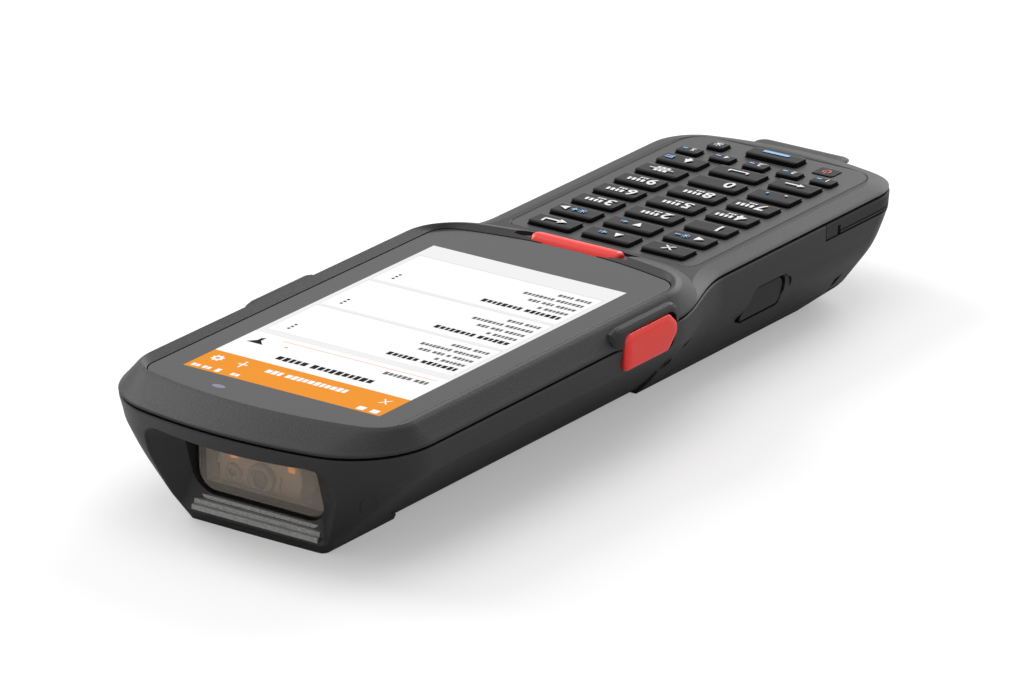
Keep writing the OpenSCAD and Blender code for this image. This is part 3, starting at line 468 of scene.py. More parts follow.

# Seam gasket: a rubber cord squeezed between the two shells. Its near-black colour is painted shade, so that the seam
# reads as a dark gap.
gasket = case_loft("seam_cord", (
    (25.2, 37.5, 29.9, 104.3, -101.7, 0.004, 18.3, 10), (25.3, 37.62, 30.02, 104.42, -101.82, 0.004, 18.4, 10.1),
    (25.7, 37.62, 30.02, 104.42, -101.82, 0.004, 18.4, 10.1), (25.8, 37.5, 29.9, 104.3, -101.7, 0.004, 18.3, 10)))
combine(gasket, case_loft("tool", [(z, 36.95, 29.35, 103.75, -101.15, 0.004, 17.7, 9.5) for z in (25, 26)]))
smooth(gasket)
gasket_rubber_and_shade = plastic("gasket_rubber_and_shade", (0.002, 0.002, 0.002), 0.8, gloss=0.03)
finish(gasket, "case", "rubber_seal", gasket_rubber_and_shade, "housing_gasket")

# Front housing: the moulded lid of the case in one piece, with a raised rim round the
# display, a sunk deck for the keypad and a ridge over each side key.
def plate_ring(half, front, back, front_bow, back_bow, front_r, back_r, z):
    ring = bowed_end(half, front, front_bow, front_r)
    ring += [(x, -y) for x, y in reversed(bowed_end(half, -back, back_bow, back_r))]
    return [(x, y, z) for x, y in mirrored(ring)]


def plate_loft(name, rows):
    return loft(name, [plate_ring(*row) for row in rows])


front_plastic = plastic("front_plastic", (0.022, 0.022, 0.0225), 0.45, 0.00009, mottle=0.2, gloss=0.25)
front = case_loft("front_shell", softened([
    (25.75, 38.6, 31.0, 105.45, -102.85, 0.004, 19.5, 11),
    (26.0, 38.9, 31.1, 105.7, -103.13, 0.004, 19.5, 11),
    (26.4, 38.7, 30.4, 105.5, -102.6, 0.004, 19.5, 11),
    (27.2, 37.9, 26.9, 103.95, -98.8, 0.004, 18, 8),
    (27.21, 37.5, 26.5, 103.6, -98.5, 0.004, 18, 8)], (0, 0, 0.25, 0, 0)))
raised = plate_loft("raised", [r[1:] + [r[0]] for r in softened([
    [25.9, 38.4, 105.0, -27.4, 0.004, 0.0, 19.5, 27],
    [26.4, 38.65, 105.4, -27.3, 0.004, 0.0, 19.5, 27],
    [29.95, 35.3, 98.98, -18.67, 0.00444, 0.0039, 10.3, 13.7],
    [30.4, 34.6, 97.9, -17.3, 0.0045, 0.0045, 9.3, 12]], (0, 0, 0.35, 0))])
combine(front, raised, "UNION")
# Low hump at the tail, lofted at the nose end and mirrored over
tab = plate_loft("tab", [
    (12.6, 105.7, 99.5, 0, 0, 2.4, 0.5, 25.65), (12.6, 105.7, 99.5, 0, 0, 2.4, 0.5, 25.8),
    (12.2, 105.3, 99.5, 0, 0, 2.2, 0.5, 26.1), (11.3, 104.6, 99.5, 0, 0, 2, 0.5, 26.3),
    (10, 103.8, 99.5, 0, 0, 1.5, 0.5, 26.4)])
tab.data.transform(Matrix.Scale(-1, 4, (0, 1, 0)))
tab.data.flip_normals()
combine(front, tab, "UNION")


RIDGE_PROFILE = ((35.9, 0), (39.2, 0), (39.2, 0.4), (39.1, 0.62), (38.8, 0.8), (38.3, 0.93), (37.7, 1), (37.1, 0.99),
                 (36.6, 0.92), (36.2, 0.8), (35.9, 0.62))


def ridge(side, low_y, high_y, height):
    ends = ((low_y, 2.2), (low_y + 0.5, 1.1), (low_y + 1.6, 0.3), (low_y + 3, 0),
            (high_y - 3, 0), (high_y - 1.6, 0.3), (high_y - 0.5, 1.1), (high_y, 2.2))
    return loft("ridge", [[(side * (x - drop * 0.35), y, 25.75 + (height - drop) * z) for x, z in RIDGE_PROFILE]
                          for y, drop in ends])


combine(front, ridge(-1, -2.2, 21.4, 4.35), "UNION")
combine(front, ridge(1, 25.7, 50.3, 3.4), "UNION")
# Display opening: a pocket for the cover glass with a rounded lip, open below
BOW = 0.0045  # of both ends of the cover glass
combine(front, plate_loft("glass_pocket", [
    (32.0, 96.95, -15.35, BOW, BOW, 5.2, 5.2, 27.8), (32.0, 96.95, -15.35, BOW, BOW, 5.2, 5.2, 29.45),
    (34.1, 97.6, -16.85, BOW, BOW, 7.9, 11, 30.25), (34.45, 97.75, -17.15, BOW, BOW, 8.5, 11.6, 30.37),
    (34.6, 97.85, -17.3, BOW, BOW, 8.7, 12, 30.41), (34.7, 97.9, -17.4, BOW, BOW, 8.8, 12.1, 31.5)]))
boxes_off(front, ((-28.4, -4.9, 20), (28.4, 89.9, 29)), ((-32.1, -8.5, 20), (32.1, 93.5, 26.5)))
# Sunk deck of the keypad, with a fine step round it
combine(front, plate_loft("pad_seat", [
    (25.1, -25.8, -97.1, 0, 0, 2.6, 6.1, 25.7), (25.1, -25.8, -97.1, 0, 0, 2.6, 6.1, 26.95),
    (25.45, -25.45, -97.45, 0, 0, 2.9, 6.4, 27.25), (25.45, -25.45, -97.45, 0, 0, 2.9, 6.4, 29)]))
combine(front, plate_loft("pad_opening", [
    (23.8, -27.1, -95.8, 0, 0, 1.3, 4.8, 20), (23.8, -27.1, -95.8, 0, 0, 1.3, 4.8, 29)]))
# Seat of the red bar's surround on the slope, and the bar's opening
seat = prism("seat", [(-15.1, -15.35), (15.1, -15.35), (13.1, -23.7), (-13.1, -23.7)], "z", 25, 40)
combine(seat, prism("wedge", [(-15.45, 28.5), (-23.6, 26), (-23.6, 32), (-15.45, 32)], "x", -20, 20), "INTERSECT")
combine(front, seat)
combine(front, block("tool", (-12.8, -21.2, 20), (12.8, -14.4, 27)))
bar_hole = rounded_outline([(-12.1, -20.5, 2.2), (12.1, -20.5, 2.2), (12.1, -15.1, 2.2), (-12.1, -15.1, 2.2)])
combine(front, prism("bar_hole", bar_hole, "z", 20, 35))
combine(front, left_pocket, keep=True)
combine(front, right_pocket, keep=True)
smooth(front, 20)
finish(front, "case", "front_shell", front_plastic, "front_housing")

# Keypad frame: a thin matt plate let into the deck, with an opening for each key.
KEY_ROWS = (("key_enter", "key_up", "key_escape"), ("key_right", "key_down", "key_left"),
            ("key_3", "key_2", "key_1"), ("key_6", "key_5", "key_4"), ("key_9", "key_8", "key_7"),
            ("key_language", "key_0", "key_dot"), ("key_shift", "key_space", "key_backspace"))
ROW_PITCH = 8
F_KEY_PITCH = 9.15
KEYS = {}  # x, y, width, depth, height over the deck
for row, names in enumerate(KEY_ROWS):
    for name, x, width in zip(names, (15.3, 0, -15.3), (11.4, 13, 11.4)):
        KEYS[name] = (x, -30.8 - ROW_PITCH * row, width, 5.7, 1.1)
for number in range(5):
    KEYS["key_f%d" % (number + 1)] = ((number - 2) * F_KEY_PITCH - 0.2, -85.4, 5.8, 3.8, 0.9)
KEYS["key_backlight"] = (14.6, -91.7, 4.4, 4, 0.9)
KEYS["key_wide"] = (-0.5, -92.6, 14, 4.6, 1.2)
KEYS["key_power"] = (-14.8, -92, 5.4, 4.4, 0.2)
DECK = 27.2


def pill(x, y, width, depth, radius, steps=6):
    a, b = width / 2, depth / 2
    return rounded_outline([(x + a, y + b, radius), (x - a, y + b, radius), (x - a, y - b, radius),
                            (x + a, y - b, radius)], steps)


plate = plate_loft("keypad_plate", [
    (25, -25.9, -97, 0, 0, 2.5, 6, 25.7), (25, -25.9, -97, 0, 0, 2.5, 6, 27.0),
    (24.88, -26.02, -96.88, 0, 0, 2.4, 5.9, 27.12)])
for x, y, width, depth, height in KEYS.values():
    combine(plate, prism("opening", pill(x, y, width + 0.4, depth + 0.4, 0.8), "z", 25, 28))
smooth(plate, 30)
plate_plastic = plastic("plate_plastic", (0.05, 0.05, 0.051), 0.48, gloss=0.35)
finish(plate, "case", "front_shell", plate_plastic, "keypad_frame")

# Keys: hard caps in gloss black with an arched top and a small round along each edge,
# printed in white and light blue. Each slides in its opening on a flange under the deck.
key_gloss = plastic("key_gloss", (0.005, 0.005, 0.0055), 0.13, 0.000004, 3000, gloss=0.12)


def print_ink(name, colour):
    return plastic(name, colour, 0.45, 0.000004, 4000, 0.03)


white_ink = print_ink("white_ink", (0.85, 0.85, 0.85))
blue_ink = print_ink("blue_ink", (0.22, 0.5, 0.85))
red_ink = print_ink("red_ink", (0.6, 0.08, 0.07))
CROWN = 11  # radius of the arched top of a cap
FLAT_CROWN = 60  # and of the low power key


def crown_sag(height, y):
    # How far the top of a cap lies lower than its middle line, y away from it
    crown = CROWN if height > 0.5 else FLAT_CROWN
    return crown - math.sqrt(crown * crown - y * y)


def cap(name, x, y, width, depth, height):
    top = DECK + height
    flange = prism(name, pill(x, y, width + 1.2, depth + 1.2, 1), "z", 25, 25.7)
    rings = [[(px, py, 25.1) for px, py in pill(x, y, width, depth, 0.7)]]
    for inset, drop in ((0, 0.24), (0.03, 0.13), (0.09, 0.05), (0.16, 0.01), (0.24, 0)):
        rings.append([(px, py, top - crown_sag(height, py - y) - drop * min(1, height))
                      for px, py in pill(x, y, width - 2 * inset, depth - 2 * inset, 0.7 - inset)])
    body = loft("cap", rings)
    # Arched top: rows of faces across the cap follow the crown
    pick(body)
    mesh = bmesh.new()
    mesh.from_mesh(body.data)
    for step in range(-9, 10):
        level = y + step * (depth / 2 - 0.27) / 10
        lids = [face for face in mesh.faces if face.normal.z > 0.9 and len(face.verts) > 4
                and face.calc_center_median().z > (top - 1) * MM]
        edges = {e for f in lids for e in f.edges}
        corners = {v for f in lids for v in f.verts}
        bmesh.ops.bisect_plane(mesh, geom=lids + list(edges) + list(corners), dist=1e-7,
                               plane_co=(0, level * MM, 0), plane_no=(0, 1, 0))
    for vertex in mesh.verts:
        from_x, from_y = vertex.co.x / MM - x, vertex.co.y / MM - y
        if vertex.co.z > (top - 0.5) * MM and abs(from_y) < depth / 2 - 0.26 and abs(from_x) < width / 2 - 0.25:
            vertex.co.z = (top - crown_sag(height, from_y)) * MM
    mesh.to_mesh(body.data)
    mesh.free()
    combine(flange, body, "UNION")
    smooth(flange, 40)
    return flange


def lay_print(key, sign, ink, flat):
    # A flat print in key millimetres, turned into a thin layer that follows the arched top
    kx, ky, width, depth, height = KEYS[key]
    pick(flat)
    edit(bpy.ops.mesh.dissolve_limited, angle_limit=0.01)
    edit(bpy.ops.mesh.quads_convert_to_tris)
    mesh = bmesh.new()
    mesh.from_mesh(flat.data)
    for step in range(-11, 12):
        bmesh.ops.bisect_plane(mesh, geom=mesh.verts[:] + mesh.edges[:] + mesh.faces[:], dist=1e-5,
                               plane_co=(0, step * 0.25, 0), plane_no=(0, 1, 0))
    bmesh.ops.remove_doubles(mesh, verts=mesh.verts[:], dist=1e-4)
    for face in mesh.faces:
        if face.normal.z < 0:
            face.normal_flip()
    low = bmesh.ops.duplicate(mesh, geom=mesh.verts[:] + mesh.edges[:] + mesh.faces[:])
    under = {g for g in low["geom"] if isinstance(g, bmesh.types.BMVert)}
    pairs = low["vert_map"]
    rim = [e for e in mesh.edges if len(e.link_faces) == 1 and e.verts[0] not in under]
    for face in low["geom"]:
        if isinstance(face, bmesh.types.BMFace):
            face.normal_flip()
    for edge in rim:
        a, b = edge.verts
        mesh.faces.new((a, b, pairs[b], pairs[a]))
    for vertex in mesh.verts:
        z = DECK + height - crown_sag(height, vertex.co.y) + (-0.03 if vertex in under else 0.02)
        vertex.co = ((vertex.co.x + kx) * MM, (vertex.co.y + ky) * MM, z * MM)
    bmesh.ops.recalc_face_normals(mesh, faces=mesh.faces[:])
    mesh.to_mesh(flat.data)
    mesh.free()
    flat.name = "%s_%s" % (key, sign)
    finish(flat, key, "key_gloss", ink)


def bmesh_piece(name, mesh):
    data = bpy.data.meshes.new(name)
    mesh.to_mesh(data)
    mesh.free()
    return new_piece(name, data)


def flat_shape(*outlines):
    mesh = bmesh.new()
    for outline in outlines:
        mesh.faces.new([mesh.verts.new((x, y, 0)) for x, y in outline])
    return bmesh_piece("print", mesh)


def flat_digit(text, x, y, height, wide=1.12):
    bpy.ops.object.select_all(action="DESELECT")
    bpy.ops.object.text_add(location=(0, 0, 0))
    letter = bpy.context.object
    letter.data.body = text
    letter.data.size = height * 1.38
    letter.data.offset = height * 0.03
    letter.data.resolution_u = 6
    letter.data.align_x = letter.data.align_y = "CENTER"
    bpy.ops.object.convert(target="MESH")
    letter = bpy.context.object
    letter.data.transform(Matrix.Translation((x, y, 0)) @ Matrix.Scale(wide, 4, (1, 0, 0)))
    return letter


def bar(x, y, width, height):
    a, b = width / 2, height / 2
    return [(x - a, y - b), (x + a, y - b), (x + a, y + b), (x - a, y + b)]


def arrow(x, y, size, turn):
    points = [(-0.5, -0.45), (0.5, -0.45), (0, 0.5)]
    c, s = math.cos(math.radians(turn)), math.sin(math.radians(turn))
    return [(x + size * (a * c - b * s), y + size * (a * s + b * c)) for a, b in points]


def word(x, y, height, parts):
    # A row of small plain blocks in place of a word
    out = []
    for width in parts:
        out.append(bar(x + width / 2, y, width, height))
        x += width + height * 0.35
    return out


def disc(x, y, radius, count=16):
    turns = [math.tau * k / count for k in range(count)]
    return [(x + radius * math.cos(a), y + radius * math.sin(a)) for a in turns]


def sun(x, y, size):
    out = [disc(x, y, size * 0.2, 12)]
    for k in range(8):
        a = math.tau * k / 8
        c, s = math.cos(a), math.sin(a)
        out.append([(x + r * size * c - w * size * s, y + r * size * s + w * size * c)
                    for r, w in ((0.28, -0.05), (0.5, -0.05), (0.5, 0.05), (0.28, 0.05))])
    return out


def sounder(x, y, size):
    return [bar(x - size * 0.42, y, size * 0.22, size * 0.34),
            [(x - size * 0.26, y - size * 0.17), (x, y - size * 0.4), (x, y + size * 0.4),
             (x - size * 0.26, y + size * 0.17)],
            bar(x + size * 0.2, y, size * 0.1, size * 0.3), bar(x + size * 0.42, y, size * 0.1, size * 0.55)]


for name, (x, y, width, depth, height) in KEYS.items():
    finish(cap(name + "_cap", x, y, width, depth, height), name, "key_gloss", key_gloss, name)
for name in KEY_ROWS[2] + KEY_ROWS[3] + KEY_ROWS[4]:
    left = -2.3 if KEYS[name][0] < 0 else -3.3
    lay_print(name, "number", white_ink, flat_digit(name[-1], left, -0.1, 3.2))
    if name != "key_1":
        lay_print(name, "marks", white_ink, flat_shape(*word(left + 1.9, 0.65, 1.3, (0.8, 0.7, 0.8, 0.7)),
                                                       *word(left + 1.9, -1.0, 0.7, (0.55, 0.5, 0.55))))
lay_print("key_0", "number", white_ink, flat_digit("0", -3.3, -0.1, 3.2))
for name, sign, outlines in (
        ("key_dot", "point", [bar(-2.4, -1.2, 0.7, 0.6)]),
        ("key_dot", "second", [bar(2.2, -0.6, 0.5, 0.9)]),
        ("key_enter", "sign", [bar(0.6, 0, 4.4, 0.6), arrow(-2, 0, 2.2, 90), bar(2.6, 0.75, 0.6, 1.6)]),
        ("key_escape", "sign", [
            [(-1.5, -1.1), (-0.9, -1.1), (1.5, 1.1), (0.9, 1.1)],
            [(0.9, -1.1), (1.5, -1.1), (0.42, -0.1), (0.12, -0.4)],
            [(-1.5, 1.1), (-0.9, 1.1), (-0.12, 0.4), (-0.42, 0.1)]]),
        ("key_up", "arrow", [arrow(-1.5, 0, 2.2, 0)]),
        ("key_down", "arrow", [arrow(-1.5, 0, 2.2, 180)]),
        ("key_left", "arrow", [arrow(-2.6, 0, 2.2, 90)]),
        ("key_right", "arrow", [arrow(3.4, 0, 2.2, -90)]),
        ("key_up", "second", sounder(2.4, 0, 1.9)),
        ("key_down", "second", sounder(2.4, 0, 1.6)),
        ("key_left", "second", sun(1.1, 0, 2.1) + [bar(3.3, 0, 1.5, 0.4)]),
        ("key_right", "second", sun(-1.6, 0, 2.1) + [
            bar(0.6, 0, 1.5, 0.4), bar(0.6, 0.5, 0.4, 0.6), bar(0.6, -0.5, 0.4, 0.6)]),
        ("key_language", "sign", word(-1.9, 0.95, 0.9, (1, 0.9, 0.9)) + [bar(0, 0.1, 6.4, 0.3)]
         + word(-1.9, -0.75, 0.9, (0.9, 1, 0.9))),
        ("key_shift", "sign", [arrow(-1.6, 0.5, 2.2, 0), bar(-1.6, -0.9, 0.9, 0.75)]),
        ("key_shift", "second", [bar(3.5, 0.5, 2.2, 0.35), bar(3.5, -0.4, 2.2, 0.35), bar(2.7, 0, 0.35, 1.6)]),
        ("key_space", "sign", [bar(0, -0.4, 5.2, 0.45), bar(-2.4, 0.15, 0.45, 0.65), bar(2.4, 0.15, 0.45, 0.65)]),
        ("key_backspace", "sign", [bar(0.7, -0.1, 3.8, 0.5), arrow(-1.7, -0.1, 1.7, 90)])):
    lay_print(name, sign, blue_ink if sign == "second" else white_ink, flat_shape(*outlines))
for number in range(1, 6):
    name = "key_f%d" % number
    lay_print(name, "number", white_ink, flat_digit(str(number), -0.9, -0.3, 1.5))
    lay_print(name, "second", blue_ink, flat_shape(bar(1.4, -0.35, 1.3, 0.5)))
lay_print("key_f3", "mark", white_ink, flat_shape(bar(-0.9, -1.35, 2.2, 0.25)))
lay_print("key_backlight", "sign", white_ink, flat_shape(*sun(0, -0.2, 2.4)))
lay_print("key_wide", "stripe", blue_ink, flat_shape(bar(0.2, -0.7, 7, 1.2)))
ring = [(math.cos(math.radians(a)), math.sin(math.radians(a))) for a in range(130, 411, 20)]
power_ring = [(x * 1.1, y * 1.1) for x, y in ring] + [(x * 0.75, y * 0.75) for x, y in reversed(ring)]
lay_print("key_power", "sign", red_ink, flat_shape(power_ring, bar(0, 0.75, 0.32, 1.3)))

# Cover glass: one sheet of hardened glass over the display, printed grey behind its
# border. The lit picture fills the window in that print.
def glossy(name, colour, roughness, coat=0.0, scale=900, mottle=0.06):
    paint = plastic(name, colour, roughness, 0.000002, scale, mottle)
    dials(paint, Coat_Weight=coat, Coat_Roughness=0.03)
    return paint


glass_grey = glossy("glass_grey", (0.035, 0.035, 0.0365), 0.15)
dials(glass_grey, Specular_IOR_Level=0.3)
glass = plate_loft("cover_glass", [
    (31.8, 96.75, -15.15, BOW, BOW, 5, 5, 27.8), (31.8, 96.75, -15.15, BOW, BOW, 5, 5, 29.22),
    (31.75, 96.7, -15.1, BOW, BOW, 5, 5, 29.35), (31.6, 96.55, -14.95, BOW, BOW, 4.9, 4.9, 29.4)])
combine(glass, block("tool", (-25.92, -0.7, 29.3), (25.92, 85.7, 30)))
oval = prism("oval", [(12 + 1.7 * x, 91.1 + 0.8 * y) for x, y in disc(0, 0, 1, 32)], "z", 29.3, 29.4)
combine(glass, oval, keep=True)
smooth(glass, 30)
finish(glass, "case", "cover_glass", glass_grey, "display_glass")
finish(oval, "case", "cover_glass", glossy("sensor_violet", (0.11, 0.09, 0.2), 0.1, 0.6))


def lit(name, colour, shade=0.02):
    # A lit patch of the display, with the faint unevenness of its backlight
    paint = plastic(name, (0.01, 0.01, 0.01), 0.3, 0.000001, 60, 0.02)
    tree = paint.node_tree
    shader = dials(paint, IOR=1.0, Specular_IOR_Level=0, Emission_Strength=1)
    glow = add_node(tree, "TexNoise", Scale=40)
    ramp = add_node(tree, "ValToRGB")
    ramp.color_ramp.elements[0].color = [c * (1 - shade) for c in colour] + [1]
    ramp.color_ramp.elements[1].color = list(colour) + [1]
    wire(tree, (tree.nodes["Texture Coordinate"], "Object", glow, "Vector"), (glow, "Fac", ramp, "Fac"),
         (ramp, "Color", shader, "Emission Color"))
    return paint


def screen_part(name, outlines, low, high, paint):
    mesh = bmesh.new()
    for outline in outlines:
        bottom = [mesh.verts.new((x * MM, y * MM, low * MM)) for x, y in outline]
        top = [mesh.verts.new((x * MM, y * MM, high * MM)) for x, y in outline]
        mesh.faces.new(list(reversed(bottom)))
        mesh.faces.new(top)
        for k in range(len(outline)):
            j = (k + 1) % len(outline)
            mesh.faces.new((bottom[k], bottom[j], top[j], top[k]))
    bmesh.ops.recalc_face_normals(mesh, faces=mesh.faces[:])
    finish(bmesh_piece("screen_" + name, mesh), "case", "panel", paint)


def text_blocks(x, y, height, words):
    # Rows of small blocks the size of letters, in place of words
    out = []
    for letters in words:
        for k in range(letters):
            width = height * (0.5, 0.62, 0.56, 0.44)[(k * 3 + letters) % 4]
            out.append(bar(x + width / 2, y, width, height * (0.95, 0.8, 0.8, 0.9)[(k + letters) % 4]))
            x += width + height * 0.17
        x += height * 0.4
    return out


lit_page = lit("lit_page", (0.9, 0.9, 0.9))
lit_white = lit("lit_white", (1, 1, 1), 0.01)
lit_orange = lit("lit_orange", (0.913, 0.328, 0.036))
lit_text = lit("lit_text", (0.02, 0.02, 0.022))
lit_grey = lit("lit_grey", (0.16, 0.16, 0.165))
lit_line = lit("lit_line", (0.74, 0.74, 0.74))
screen_part("page", [bar(0, 42.5, 51.8, 86.36)], 29.3, 29.36, lit_page)
screen_part("header", [bar(0, 80.33, 51.8, 10.7)], 29.36, 29.375, lit_orange)
screen_part("head_sheet", [bar(0, 68.15, 51.8, 13.6)], 29.36, 29.37, lit_white)
cards = (50.65, 32.6, 14.5)
card_edges = [bar(0, y - 0.1, 49.5, 17.3) for y in cards] + [bar(0, 61.3, 51.8, 0.12)]
screen_part("card_edges", card_edges, 29.36, 29.367, lit_line)
screen_part("cards", [bar(0, y, 49.1, 16.9) for y in cards], 29.367, 29.375, lit_white)
gear = []
for k, (x, y) in enumerate(disc(0, 0, 1, 32)):
    reach = 1.55 if (k // 2) % 2 else 1.15
    gear.append((22.3 + reach * x, 78.6 + reach * y))
header_marks = [bar(-23.5, 84.1, 1.9, 1.7), bar(-20, 84.1, 1.9, 1.7), bar(17.8, 84.1, 1.1, 1.8), gear,
                bar(15.6, 78.6, 2.4, 0.42), bar(15.6, 79.6, 0.42, 1.5), bar(15.6, 77.6, 0.42, 1.5),
                [(-23.2, 77.4), (-22.8, 77.4), (-20.9, 79.8), (-21.3, 79.8)],
                [(-23.2, 79.8), (-22.3, 78.7), (-22.1, 79), (-22.8, 79.8)],
                [(-20.9, 77.4), (-21.3, 77.4), (-22, 78.3), (-21.8, 78.6)]]
header_marks += text_blocks(-11.9, 78.6, 2.1, (11, 3))
header_marks += text_blocks(12.3, 84.1, 1.5, (2,)) + text_blocks(19.8, 84.1, 1.5, (2, 2))
screen_part("header_marks", header_marks, 29.375, 29.385, lit_white)
screen_part("gear_hole", [disc(22.3, 78.6, 0.55)], 29.385, 29.39, lit_orange)
dark = text_blocks(-13, 71.3, 2.3, (10, 5))
dark.append([(19.3, 67.4), (21, 65.7), (21, 63.8), (21.9, 64.4), (21.9, 65.7), (23.6, 67.4)])  # a funnel
grey = text_blocks(-23, 65.6, 1.7, (3, 6))
lines = (((7, 6), (6, 1), (5, 1, 3, 3), (7, 8), (4, 5)), ((6, 8), (6, 1), (5, 3, 3), (7, 8), (4, 4)),
         ((7, 8), (6, 1), (5, 3, 3), (7, 8), (4, 4)))
for y, rows in zip(cards, lines):
    dark += text_blocks(-23.2, y + 5.35, 1.9, rows[0])
    for k in range(1, 5):
        grey += text_blocks(-23.2, y + 5.35 - 2.8 * k, 1.45, rows[k])
    dark += [disc(20.8, y + 5.9 - 1.25 * k, 0.38) for k in range(3)]
screen_part("titles", dark, 29.375, 29.385, lit_text)
screen_part("lines", grey, 29.375, 29.385, lit_grey)
field = [bar(-3.4, 63.3, 40.8, 0.16), [(13.6, 66), (14.2, 65.3), (14.8, 66)]]
screen_part("field", field, 29.375, 29.383, lit_orange)

# Red scan keys: gloss red caps, a long bar between display and keypad and a larger one
# in a pocket of the left side. The key on the right side is a plain one of the front's plastic.
red_gloss = glossy("red_gloss", (0.95, 0.03, 0.022), 0.22, 0.1, 2400, 0.04)
dials(red_gloss, Specular_IOR_Level=0.4)
BAR_PROFILE = [(2.3, 25.1), (2.3, 28.2), (2.12, 28.7), (1.75, 29.3), (1.1, 29.92), (0.7, 30.15), (0.2, 30.27),
               (-0.6, 30.28), (-1.4, 30.1), (-1.9, 29.75), (-2.2, 29.2), (-2.3, 28.6), (-2.3, 25.1)]
bar_rings = []
for x, squeeze, drop in ((11.7, 0.62, 0.85), (11.62, 0.76, 0.5), (11.4, 0.88, 0.24), (11, 0.96, 0.08), (10.4, 1, 0)):
    bar_rings.append([(x, -17.8 + y * squeeze, z - drop * min(1, max(0, (z - 25.2) / 4))) for y, z in BAR_PROFILE])
scan_bar = loft("scan_bar_cap", bar_rings + [[(-x, y, z) for x, y, z in ring] for ring in reversed(bar_rings)])
combine(scan_bar, block("tool", (-12.4, -20.8, 25), (12.4, -14.8, 26)), "UNION")
smooth(scan_bar, 50)
finish(scan_bar, "scan_bar", "red_gloss", red_gloss, "scan_bar")


SIDE_KEY_Z = 24.2


def side_cap(name, side, y, corners):
    rings = []
    for inset, out in ((0, 36.2), (0, 38.9), (0.1, 39.25), (0.3, 39.55), (0.6, 39.75), (1.1, 39.9), (2.0, 39.97)):
        outline = rounded_outline([(y + a * (1 - inset / 9.3), SIDE_KEY_Z + b * (1 - inset / 4.2), r * (1 - inset / 4))
                                   for a, b, r in corners], 6)
        rings.append([(side * (out - (0 if out < 37 else ((z - SIDE_KEY_Z) ** 2) / 40)), py, z) for py, z in outline])
    piece = loft(name, rings)
    combine(piece, rod(1.1, 1.5, (side * 35.95, y, 22.7), 32, (0, math.pi / 2, 0)), "UNION")
    smooth(piece, 40)
    return piece


left_cap = side_cap("left_cap", -1, 9, ((9.3, -4.2, 1.4), (9.3, 4.2, 1.8), (-7.2, 4.2, 1.6), (-9.3, 1.9, 1.6),
                                        (-9.3, -0.2, 1.4), (-6.4, -4.2, 1.2)))
finish(left_cap, "left_scan_key", "red_gloss", red_gloss, "left_scan_key")
right_cap = side_cap("right_cap", 1, 38, ((9.3, -4.2, 2.2), (9.3, 4.2, 2.2), (-9.3, 4.2, 2.2), (-9.3, -4.2, 2.2)))
finish(right_cap, "right_side_key", "front_shell", front_plastic, "right_side_key")

# Scan engine: a brown camera block with a ringed lens, an aimer and two lamps, behind a
# tinted window that is bonded into the end of the recess.
engine_brown = plastic("engine_brown", (0.62, 0.5, 0.41), 0.45)
ENGINE_FACE = 87.5
engine = block("engine_block", (-6.2, 75.5, 3.4), (15.4, 87.5, 15), 0.5)
for x, z, radius, depth in ((3.8, 9.5, 3.5, 0.5), (11.3, 9.3, 2.2, 0.4)):
    combine(engine, rod(radius, 2 * depth, (x, ENGINE_FACE, z), 48, (math.pi / 2, 0, 0)))
boxes_off(engine, ((-5.4, 86.9, 4.2), (-0.6, 88, 11)), ((8.6, 86.9, 4.2), (14.6, 88, 6.6)))
smooth(engine)
finish(engine, "case", "dark_trim", engine_brown, "scan_engine")


ring_metal = plastic("ring_metal", (0.36, 0.34, 0.31), 0.3)
lens_dark = glossy("lens_dark", (0.03, 0.03, 0.03), 0.06, 1.0)


def ringed_lens(name, x, z, rings):
    # Turned from (radius, depth) pairs; the three inmost rings are lens, the others metal
    mesh = bmesh.new()
    count = 48
    loops = [[mesh.verts.new((px * MM, (ENGINE_FACE + depth) * MM, pz * MM)) for px, pz in disc(x, z, radius, count)]
             for radius, depth in rings]
    for a, b in zip(loops, loops[1:]):
        for k in range(count):
            j = (k + 1) % count
            mesh.faces.new((a[k], a[j], b[j], b[k]))
    mesh.faces.new(loops[-1])
    mesh.faces.new(loops[0])
    bmesh.ops.recalc_face_normals(mesh, faces=mesh.faces[:])
    inner = set(loops[-1]) | set(loops[-2]) | set(loops[-3])
    for face in mesh.faces:
        if all(v in inner for v in face.verts):
            face.material_index = 1
    piece = bmesh_piece(name, mesh)
    smooth(piece, 30)
    piece.data.materials.append(ring_metal)
    piece.data.materials.append(lens_dark)
    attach(piece, "case")
    return piece


lens = ringed_lens("engine_lens", 3.8, 9.5, (
    (3.3, -0.5), (3.3, 1.1), (3.15, 1.25), (2.6, 1.3), (2.4, 1.1), (2.3, 0.7), (2.0, 0.9), (1.3, 1.12), (0.5, 1.24)))
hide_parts("engine_lenses")
ringed_lens("engine_aimer", 11.3, 9.3, (
    (2.0, -0.4), (2.0, 0.6), (1.9, 0.75), (1.5, 0.8), (1.4, 0.6), (1.3, 0.4), (1.0, 0.6), (0.6, 0.75), (0.2, 0.8)))
amber = plastic("amber_lamp", (0.8, 0.32, 0.06), 0.3)
dials(amber, Emission_Color=(1, 0.42, 0.08, 1), Emission_Strength=0.5)
for number, x in enumerate((11, -4.2)):
    lamp_cap = block("engine_lamp_%d" % number, (x - 0.9, 87.4, 12.6), (x + 0.9, 88.2, 13.8), 0.35)
    smooth(lamp_cap)
    finish(lamp_cap, "case", "lens_glass", amber)
label = block("engine_plate", (10.2, 86.8, 4.5), (13, 87.3, 6.4), 0.1)
smooth(label)
finish(label, "case", "dark_trim", plastic("plate_white", (0.6, 0.6, 0.6), 0.5))
tinted = bpy.data.materials.new("tinted_window")
tinted.use_nodes = True
tint_tree = tinted.node_tree
tint = dials(tinted, Roughness=0.005, IOR=1.2, Transmission_Weight=0.8)
tint_noise = add_node(tint_tree, "TexNoise", Scale=90)
